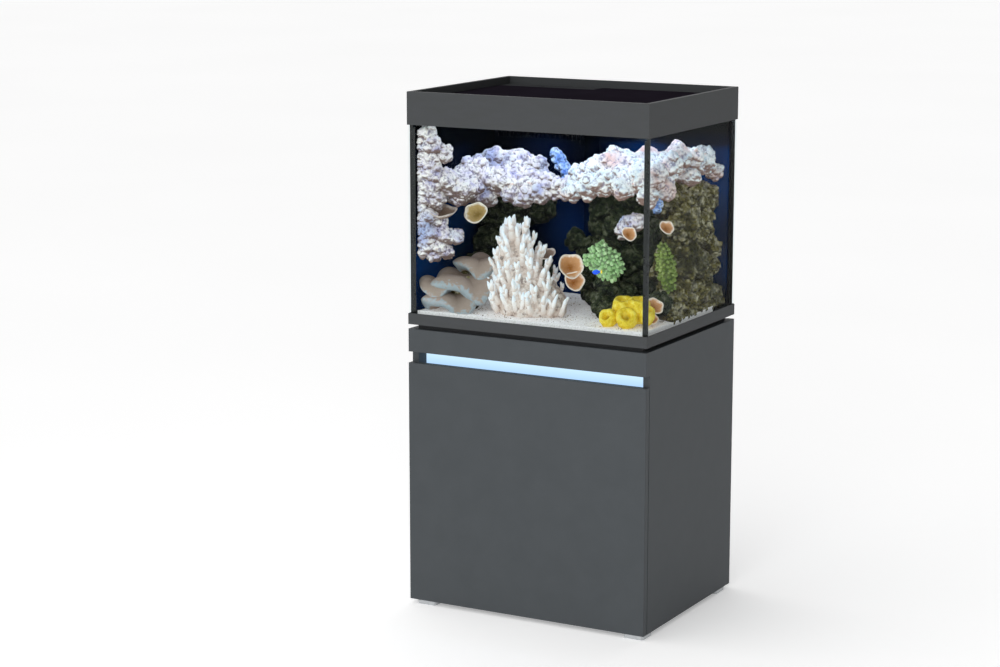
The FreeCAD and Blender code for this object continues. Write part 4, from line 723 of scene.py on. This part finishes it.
def finger_coral():
    """The finger coral: tiers of stout fingers over a mound, each pointing up and a little out.

    None grows at the back right, where the cup corals stand.
    """
    rng = random.Random(21)
    # height of a tier over the sand, its radius, its centre to the right, and its fingers
    tiers = ((4, 118, 288, 22), (32, 104, 280, 20), (62, 92, 270, 17), (94, 78, 260, 14),
             (124, 60, 250, 11), (152, 44, 242, 8), (176, 28, 238, 6), (190, 12, 238, 3))
    depth = 120
    bare_corner = spot(336, 112, 0)
    spines = []
    for rise, reach, middle, count in tiers:
        for i in range(count):
            turn = 2 * math.pi * (i + rng.uniform(-0.3, 0.3)) / count
            out = reach * rng.uniform(0.72, 0.92)
            place = spot(middle + out * math.cos(turn), depth + 0.74 * out * math.sin(turn),
                         rise + rng.uniform(-8, 8))
            lean = 0.25 + 0.45 * reach / 116
            way = Vector((lean * math.cos(turn) - 0.04, lean * math.sin(turn), 1.0)).normalized()
            grown_finger = finger(rng, place, way, rng.uniform(46, 72) * MM,
                                  rng.uniform(7.2, 9.6) * MM, True)
            if place.x < bare_corner.x or place.y < bare_corner.y:
                spines += grown_finger
    mesh = bpy.data.meshes.new("spines")
    places, edges, sizes, shares = [], [], [], []
    for spine in spines:
        first = len(places)
        edges += [(first + i, first + i + 1) for i in range(len(spine) - 1)]
        for at, size, share in spine:
            places.append(within_tank(at, size))
            sizes.append(size)
            shares.append(share)
    mesh.from_pydata(places, edges, [])
    for label, values in (("radius", sizes), ("rim", shares)):
        mesh.attributes.new(label, "FLOAT", "POINT").data.foreach_set("value", values)
    stems = grown("finger_coral_stems", mesh, stem_tree(), {"Sides": 8, "Material": finger_stone})
    piece("finger_coral_stems", stems, finger_stone, "finger_coral")
    balls = []
    for rise, reach, middle, count in tiers:
        for aside, share in ((0, 0.66), (-0.3, 0.5), (0.3, 0.5)):
            balls.append((spot(middle + aside * reach, depth, rise), share * reach * MM))
    balls = [(within_tank(centre, size + 4 * MM), size) for centre, size in balls]
    mound = accreted("finger_coral_mound", balls, coral_foot, 3.0, 3 * MM, (12 * MM, 5 * MM),
                     (5 * MM, 2 * MM))
    piece("finger_coral_mound", mound, coral_foot, "finger_coral")


finger_coral()


def leaf_mesh(name, rings, around, shape, wall):
    """A closed thick leaf over a polar grid; shape(share out, angle) gives its middle surface."""
    made = bmesh.new()
    rim = made.verts.layers.float.new("rim")
    rows = []
    for i in range(rings + 1):
        out = i / rings
        row = []
        for j in range(around if i else 1):
            vertex = made.verts.new(shape(out, 2 * math.pi * j / around))
            vertex[rim] = out
            row.append(vertex)
        rows.append(row)
    for j in range(around):
        made.faces.new((rows[0][0], rows[1][j], rows[1][(j + 1) % around]))
    for i in range(1, rings):
        for j in range(around):
            k = (j + 1) % around
            made.faces.new((rows[i][j], rows[i + 1][j], rows[i + 1][k], rows[i][k]))
    bmesh.ops.recalc_face_normals(made, faces=made.faces)
    holder = bpy.data.objects.new(name + "_leaf", mesh_of(name, made))
    SCENE.collection.objects.link(holder)
    thick = holder.modifiers.new("wall", "SOLIDIFY")
    thick.thickness = wall
    thick.offset = 0.0
    fine = holder.modifiers.new("fine", "SUBSURF")
    fine.levels = fine.render_levels = 1
    bpy.context.view_layer.update()
    done = bpy.data.meshes.new_from_object(holder.evaluated_get(bpy.context.evaluated_depsgraph_get()))
    bpy.data.objects.remove(holder)
    done.name = name
    for face in done.polygons:
        face.use_smooth = True
    return done


def cup(centre, radius, tilt, turn, seed, flare=0.55, waves=5):
    """Middle surface of a shallow wavy cup, tilted over and turned about the vertical."""
    rng = random.Random(seed)
    phase = rng.uniform(0, 6)
    pose = Matrix.Rotation(turn, 3, "Z") @ Matrix.Rotation(tilt, 3, "X")

    def shape(out, angle):
        edge = radius * (1 + 0.04 * math.sin(waves * angle + phase) + 0.05 * math.sin(3 * angle))
        rise = flare * radius * out ** 2.1 + 0.05 * radius * out * math.sin(waves * angle + phase)
        return centre + pose @ Vector((edge * out * math.cos(angle), edge * out * math.sin(angle), rise))
    return shape


# Name, place, radius, tilt forwards, turn about the vertical, and finish.
CUPS = (
    ("cup_left_outer", (60, 48, 246), 38, 0.25, 0.35, brown_cup),
    ("cup_left_inner", (134, 104, 250), 31, 0.95, 0.15, ochre_cup),
    ("cup_left_low", (112, 112, 236), 24, 0.7, 0.9, brown_cup),
    ("cup_right_back", (318, 150, 146), 24, 0.5, 0.2, brown_cup),
    ("cup_right_high", (382, 156, 122), 34, 1.15, 0.75, orange_cup),
    ("cup_right_low", (396, 152, 84), 27, 1.1, 0.75, orange_cup),
    ("cup_side_small", (580, 96, 230), 20, 1.0, 0.9, orange_cup),
    ("cup_side_pane", (642, 190, 238), 20, 0.9, 0.9, orange_cup),
    ("cup_corner", (640, 122, 40), 26, 0.7, 1.0, orange_cup),
    ("cup_corner_low", (644, 100, 12), 20, 0.6, 0.8, orange_cup),
)


def cup_corals():
    """Every cup coral of the list, each with waves of its own."""
    for number, (name, place, size, tilt, turn, material) in enumerate(CUPS):
        shape = cup(spot(*place), size * MM, tilt, turn, 31 + number)
        mesh = leaf_mesh(name, 9, 40, shape, 2.6 * MM)
        piece(name, mesh, material, "small_corals")


cup_corals()


def leather_leaf(centre, radius, lift, lobes, phase, lean):
    """Middle surface of a leather coral cap: a disc whose edge is thrown into deep folds."""
    def shape(out, angle):
        fold = math.sin(lobes * angle + phase) + 0.35 * math.sin((lobes + 2) * angle + 1.7 * phase)
        edge = radius * (1 + 0.12 * math.sin(lobes * angle + phase + 1.2))
        droop = 0.45 * out ** 2 - 0.9 * out ** 4
        rise = lift * (droop + 0.42 * out ** 2 * fold)
        return centre + Vector((edge * out * math.cos(angle), edge * out * math.sin(angle) * 0.86,
                                rise + lean * out * math.cos(angle) * radius))
    return shape


def leather_coral():
    """The leather coral: four thick folded caps, one above the other, round a short stalk."""
    # name, place, radius, lift of the folds, their number and their phase
    for name, place, size, lift, lobes, phase in (
            ("leather_cap_corner", (46, 44, 62), 40, 36, 2, 1.3),
            ("leather_cap_front", (80, 62, 26), 72, 40, 3, 0.9),
            ("leather_cap_low", (98, 84, 72), 82, 52, 3, 0.2),
            ("leather_cap_high", (128, 128, 114), 60, 40, 3, 2.1)):
        shape = leather_leaf(spot(*place), size * MM, lift * MM, lobes, phase, -0.05)
        cap = leaf_mesh(name, 14, 72, shape, 32 * MM)
        piece(name, cap, leather_flesh, "leather_coral")
    balls = boulder(random.Random(41), spot(104, 104, 40), 46 * MM, 10)
    stalk = accreted("leather_stalk", balls, olive_rock, 5.0, 3 * MM, (20 * MM, 4 * MM),
                     (6 * MM, 1 * MM))
    piece("leather_stalk", stalk, olive_rock, "leather_coral")


leather_coral()


def polyp_tree():
    """Bulbs scattered over a form, each a rounded bead on the skin, larger and smaller."""
    tree, given, output = geometry_tree("polyps", [
        ("Spacing", "Float"), ("Bulb", "Float"), ("Seed", "Int"), ("Material", "Material")])
    points = add(tree, "GeometryNodeDistributePointsOnFaces", {"Density Max": 90000.0},
                 {"Mesh": given["Geometry"], "Distance Min": given["Spacing"], "Seed": given["Seed"]},
                 distribute_method="POISSON")
    bead = add(tree, "GeometryNodeMeshIcoSphere", {"Subdivisions": 2}, {"Radius": given["Bulb"]})
    size = add(tree, "FunctionNodeRandomValue", {2: 0.7, 3: 1.25}, {"Seed": given["Seed"]},
               data_type="FLOAT")
    scale = add(tree, "ShaderNodeCombineXYZ", None,
                {"X": size.outputs[1], "Y": size.outputs[1]})
    tall = add(tree, "ShaderNodeMath", {1: 1.7}, {0: size.outputs[1]}, operation="MULTIPLY")
    tree.links.new(tall.outputs[0], scale.inputs["Z"])
    beads = add(tree, "GeometryNodeInstanceOnPoints", None,
                {"Points": points.outputs["Points"], "Instance": bead.outputs["Mesh"],
                 "Rotation": points.outputs["Rotation"], "Scale": scale.outputs[0]})
    # Painted shade: crest is high on the bulbs and low on the form between them, which the finish darkens.
    crest = add(tree, "GeometryNodeStoreNamedAttribute", {"Name": "crest", "Value": 0.8},
                {"Geometry": beads.outputs[0]}, data_type="FLOAT", domain="INSTANCE")
    base = add(tree, "GeometryNodeStoreNamedAttribute", {"Name": "crest", "Value": 0.15},
               {"Geometry": given["Geometry"]}, data_type="FLOAT", domain="POINT")
    both = add(tree, "GeometryNodeJoinGeometry")
    tree.links.new(base.outputs[0], both.inputs[0])
    tree.links.new(crest.outputs[0], both.inputs[0])
    smooth = add(tree, "GeometryNodeSetShadeSmooth", None, {"Geometry": both.outputs[0]})
    ending(tree, output, smooth.outputs[0], given["Material"])
    return tree


POLYPS = polyp_tree()


def domes(name, blobs):
    """Ico spheres joined as one form for polyps, from (x, y, z, radius) in tank millimetres."""
    made = bmesh.new()
    for x, y, z, r in blobs:
        bmesh.ops.create_icosphere(made, subdivisions=3, radius=r * MM,
                                   matrix=Matrix.Translation(spot(x, y, z)))
    return mesh_of(name, made)


def green_coral(name, blobs, bulb, seed, material):
    """A coral of close bulbs over a form of blobs."""
    mesh = grown(name, domes(name, blobs), POLYPS,
                 {"Spacing": 9 * MM, "Bulb": bulb, "Seed": seed, "Material": material})
    piece(name, mesh, material, "small_corals")


green_coral("cluster_coral", (
    (456, 134, 150, 17), (478, 124, 164, 18), (500, 120, 176, 17), (522, 126, 160, 18),
    (538, 130, 140, 14), (508, 118, 148, 18), (482, 122, 138, 15), (520, 128, 122, 16),
    (494, 128, 120, 13), (484, 140, 184, 14), (460, 138, 172, 11)), 5.0 * MM, 7, mint_polyp)
green_coral("side_cluster_coral", (
    (644, 170, 190, 12), (640, 186, 166, 18), (636, 204, 142, 22), (638, 214, 112, 20),
    (640, 220, 84, 14)), 4.4 * MM, 9, moss_polyp)
# The rock that carries the cluster coral, dark with painted shade.
rock("rock_cluster_foot", 17, [(484, 176, 30, 36), (486, 172, 84, 28), (524, 190, 46, 34),
                               (600, 176, 30, 30), (626, 200, 40, 26)],
     shaded_rock, knob=(12 * MM, 5 * MM))


def tube_sponge(centre, outer, height, tilt, turn):
    """A fat open tube, tipped over: bulged outside, rounded lip, and a funnel down its middle."""
    made = bmesh.new()
    tip = Matrix.Rotation(turn, 3, "Z") @ Matrix.Rotation(tilt, 3, "X")
    crest = made.verts.layers.float.new("crest")
    # half section: share of the outer radius, share of the height
    profile = [(0.55, 0.0), (0.92, 0.22), (1.0, 0.5), (0.95, 0.78), (0.78, 0.97), (0.6, 1.0),
               (0.44, 0.9), (0.34, 0.7), (0.22, 0.55), (0.02, 0.5)]
    around = 36
    rows = []
    for share, rise in profile:
        row = []
        for j in range(around):
            angle = 2 * math.pi * j / around
            wave = 1 + 0.06 * math.sin(5 * angle + 9 * rise) + 0.04 * math.sin(3 * angle)
            at = Vector((math.cos(angle) * share * outer * wave, math.sin(angle) * share * outer * wave,
                         rise * height))
            vertex = made.verts.new(centre + tip @ at)
            # Painted shade: crest is high outside and falls down the funnel, where the finish darkens it.
            vertex[crest] = 0.75 if share > 0.5 else max(0.05, share)
            row.append(vertex)
        rows.append(row)
    closed_skin(made, rows)
    return made


def sponge():
    """Five yellow tubes grown together, low behind the right end of the front pane."""
    whole = bmesh.new()
    for x, y, size, height, tilt, turn in (
            (550, 66, 24, 40, 1.0, 0.0), (594, 72, 29, 46, 0.95, 0.35), (572, 96, 30, 62, 0.25, 0.2),
            (612, 96, 30, 64, 0.2, 0.6), (638, 82, 20, 48, 0.5, 0.9)):
        part = tube_sponge(spot(x, y, 8), size * MM, height * MM, tilt, turn)
        whole.from_mesh(mesh_of("part", part))
    mesh = mesh_of("yellow_sponge_tubes", whole, smooth=True)
    piece("yellow_sponge_tubes", mesh, yellow_sponge, "small_corals")


sponge()


# Per metre of sand.
RIPPLES = 14
DIMPLES = 90


def sand():
    """The sand: a closed bed whose top rises and falls in low ripples."""
    low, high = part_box("sand_bed")
    across, deep = 150, 96  # grid cells from side to side and from front to back
    made = bmesh.new()
    crest = made.verts.layers.float.new("crest")
    grid = []
    for i in range(across + 1):
        row = []
        for j in range(deep + 1):
            x = low.x + (high.x - low.x) * i / across
            y = low.y + (high.y - low.y) * j / deep
            hill = (noise.noise(Vector((x, y, 0)) * RIPPLES) * 3 * MM +
                    noise.noise(Vector((x, y, 3)) * DIMPLES) * MM)
            vertex = made.verts.new((x, y, high.z - 1 * MM + hill))
            vertex[crest] = 0.6
            row.append(vertex)
        grid.append(row)
    faces = [made.faces.new((grid[i][j], grid[i + 1][j], grid[i + 1][j + 1], grid[i][j + 1]))
             for i in range(across) for j in range(deep)]
    made.normal_update()
    edges = [e for e in made.edges if e.is_boundary]
    skirt = bmesh.ops.extrude_edge_only(made, edges=edges)["geom"]
    bottom = [v for v in skirt if isinstance(v, bmesh.types.BMVert)]
    for vertex in bottom:
        vertex.co.z = low.z
    bmesh.ops.contextual_create(made, geom=[e for e in made.edges if e.is_boundary])
    bmesh.ops.recalc_face_normals(made, faces=made.faces)
    for face in faces:
        face.smooth = True
    piece("sand_ripples", mesh_of("sand_ripples", made), coral_sand, "sand_bed")


sand()


def rubble_tree():
    """Small chips scattered over a face, each turned and sized at random."""
    tree, given, output = geometry_tree("rubble", [
        ("Density", "Float"), ("Chip", "Float"), ("Seed", "Int"), ("Material", "Material")])
    points = add(tree, "GeometryNodeDistributePointsOnFaces", None,
                 {"Mesh": given["Geometry"], "Density": given["Density"], "Seed": given["Seed"]})
    chip = add(tree, "GeometryNodeMeshIcoSphere", {"Subdivisions": 1}, {"Radius": given["Chip"]})
    size = add(tree, "FunctionNodeRandomValue", {0: (0.5, 0.4, 0.3), 1: (1.7, 1.3, 0.9)},
               {"Seed": given["Seed"]}, data_type="FLOAT_VECTOR")
    turn = add(tree, "FunctionNodeRandomValue", {0: (0, 0, 0), 1: (0.6, 0.6, 6.28)},
               {"Seed": given["Seed"]}, data_type="FLOAT_VECTOR")
    chips = add(tree, "GeometryNodeInstanceOnPoints", None,
                {"Points": points.outputs["Points"], "Instance": chip.outputs["Mesh"],
                 "Rotation": turn.outputs[0], "Scale": size.outputs[0]})
    crest = add(tree, "GeometryNodeStoreNamedAttribute", {"Name": "crest", "Value": 0.7},
                {"Geometry": chips.outputs[0]}, data_type="FLOAT", domain="INSTANCE")
    ending(tree, output, crest.outputs[0], given["Material"])
    return tree


def rubble():
    """Coral chips on the sand, between the panes and in front of the overflow."""
    made = bmesh.new()
    low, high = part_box("sand_bed")
    rim = 12 * MM
    corners = [(low.x + rim, low.y + rim), (high.x - rim, low.y + rim),
               (high.x - rim, high.y - rim), (low.x + rim, high.y - rim)]
    made.faces.new([made.verts.new((x, y, high.z - 0.5 * MM)) for x, y in corners])
    chips = grown("sand_rubble", mesh_of("field", made), rubble_tree(),
                  {"Density": 5200.0, "Chip": 1.6 * MM, "Seed": 5, "Material": coral_chips})
    piece("sand_rubble", chips, coral_chips, "sand_bed")


rubble()


def fish(name, centre, length, heading):
    """A small reef fish: a flattened body, a forked tail and its fins, as one closed mesh."""
    made = bmesh.new()
    rim = made.verts.layers.float.new("rim")
    turn = Matrix.Rotation(heading, 3, "Z")
    # share of the length from the mouth, half height as a share of the length
    sections = ((0.0, 0.02), (0.06, 0.11), (0.2, 0.19), (0.38, 0.23), (0.55, 0.2), (0.72, 0.11),
                (0.82, 0.07), (0.9, 0.13), (1.0, 0.22))
    around = 16
    rows = []
    for along, tall in sections:
        flat = 0.42 if along < 0.8 else 0.12
        row = []
        for j in range(around):
            angle = 2 * math.pi * j / around
            at = Vector(((along - 0.5) * length, math.cos(angle) * tall * length * flat,
                         math.sin(angle) * tall * length))
            vertex = made.verts.new(centre + turn @ at)
            # The back is painted paler blue than the belly, as painted light from above; the tail takes the
            # yellow.
            vertex[rim] = 0.25 + 0.2 * math.sin(angle) if along < 0.78 else 1.0
            row.append(vertex)
        rows.append(row)
    closed_skin(made, rows)
    piece(name, mesh_of(name, made, smooth=True), fish_scales, None)


fish("blue_fish", spot(504, 74, 132), 28 * MM, math.radians(50))

# --------------------------------------------------------------------- floor and lights


FLOOR_REACH = 30.0
FLOOR_LIFT = 0.32


def pale_floor():
    """A wide flat pale floor. It glows a little, so that it is as white as the studio."""
    made = bmesh.new()
    bmesh.ops.create_grid(made, x_segments=1, y_segments=1, size=FLOOR_REACH)
    mesh = mesh_of("floor", made)
    obj = bpy.data.objects.new("floor", mesh)
    SCENE.collection.objects.link(obj)
    material, tree, output = new_material("studio_paper")
    colour = ramp(tree, grain(tree, 2.0, 2.0), [(0.3, "#FBFBFB"), (0.7, "#FEFEFE")])
    paper = add(tree, "ShaderNodeBsdfDiffuse", None, {"Color": colour})
    lift = add(tree, "ShaderNodeEmission", {"Color": (1, 1, 1, 1), "Strength": FLOOR_LIFT})
    both = add(tree, "ShaderNodeAddShader", None, {0: paper.outputs[0], 1: lift.outputs[0]})
    tree.links.new(both.outputs[0], output.inputs[0])
    mesh.materials.append(material)


pale_floor()


SOFTBOX_PLACE = Vector((1.2, -4.2, 2.4))
SOFTBOX_SIDE = 2.4
SOFTBOX_WATTS = 51


def softbox():
    """A square softbox in front, to the right and above, aimed at the unit's middle."""
    data = bpy.data.lights.new("softbox_front", "AREA")
    data.shape = "RECTANGLE"
    data.size = data.size_y = SOFTBOX_SIDE
    data.energy = SOFTBOX_WATTS
    obj = bpy.data.objects.new("softbox_front", data)
    obj.location = SOFTBOX_PLACE
    way = (cad_low + cad_high) / 2 - SOFTBOX_PLACE
    obj.rotation_euler = way.to_track_quat("-Z", "Y").to_euler()
    SCENE.collection.objects.link(obj)


softbox()


def studio():
    """A studio that is white all round, dimmer on the right above the horizon.

    So the right side of the unit reads darker than its front.
    """
    world = bpy.data.worlds.new("studio")
    SCENE.world = world
    world.use_nodes = True
    sky = world.node_tree
    toward = add(sky, "ShaderNodeSeparateXYZ", None,
                 {0: add(sky, "ShaderNodeTexCoord").outputs["Generated"]})
    above = span(sky, toward.outputs["Z"], 0.0, 1.0, 0.03, 0.2)
    rightward = add(sky, "ShaderNodeMath", None, {0: toward.outputs["X"], 1: above},
                    operation="MULTIPLY").outputs[0]
    white_to_dim = span(sky, rightward, 1.0, 0.1, 0.0, 0.35)
    sky.links.new(white_to_dim, sky.nodes["Background"].inputs["Strength"])
    sky.nodes["Background"].inputs["Color"].default_value = (1, 1, 1, 1)


studio()
SCENE.view_settings.view_transform = "Standard"
# Enough for a ray that crosses the tank's panes and the filter tank behind them.
SCENE.cycles.transparent_max_bounces = 24

# ------------------------------------------------------------------------------- camera

EYE_PLACE = (2.9219, -5.6824, 1.9614)
LOOK_DOWN = math.radians(10.916)
LOOK_LEFT = math.radians(28.97)
FOCAL_LENGTH = 87.17  # on a sensor 36 mm wide

camera = bpy.data.cameras.new("camera")
camera.lens = FOCAL_LENGTH
camera.sensor_width = 36.0
camera.clip_end = 100
eye = bpy.data.objects.new("camera", camera)
eye.location = EYE_PLACE
eye.rotation_euler = (math.radians(90) - LOOK_DOWN, 0, LOOK_LEFT)
SCENE.collection.objects.link(eye)
SCENE.camera = eye
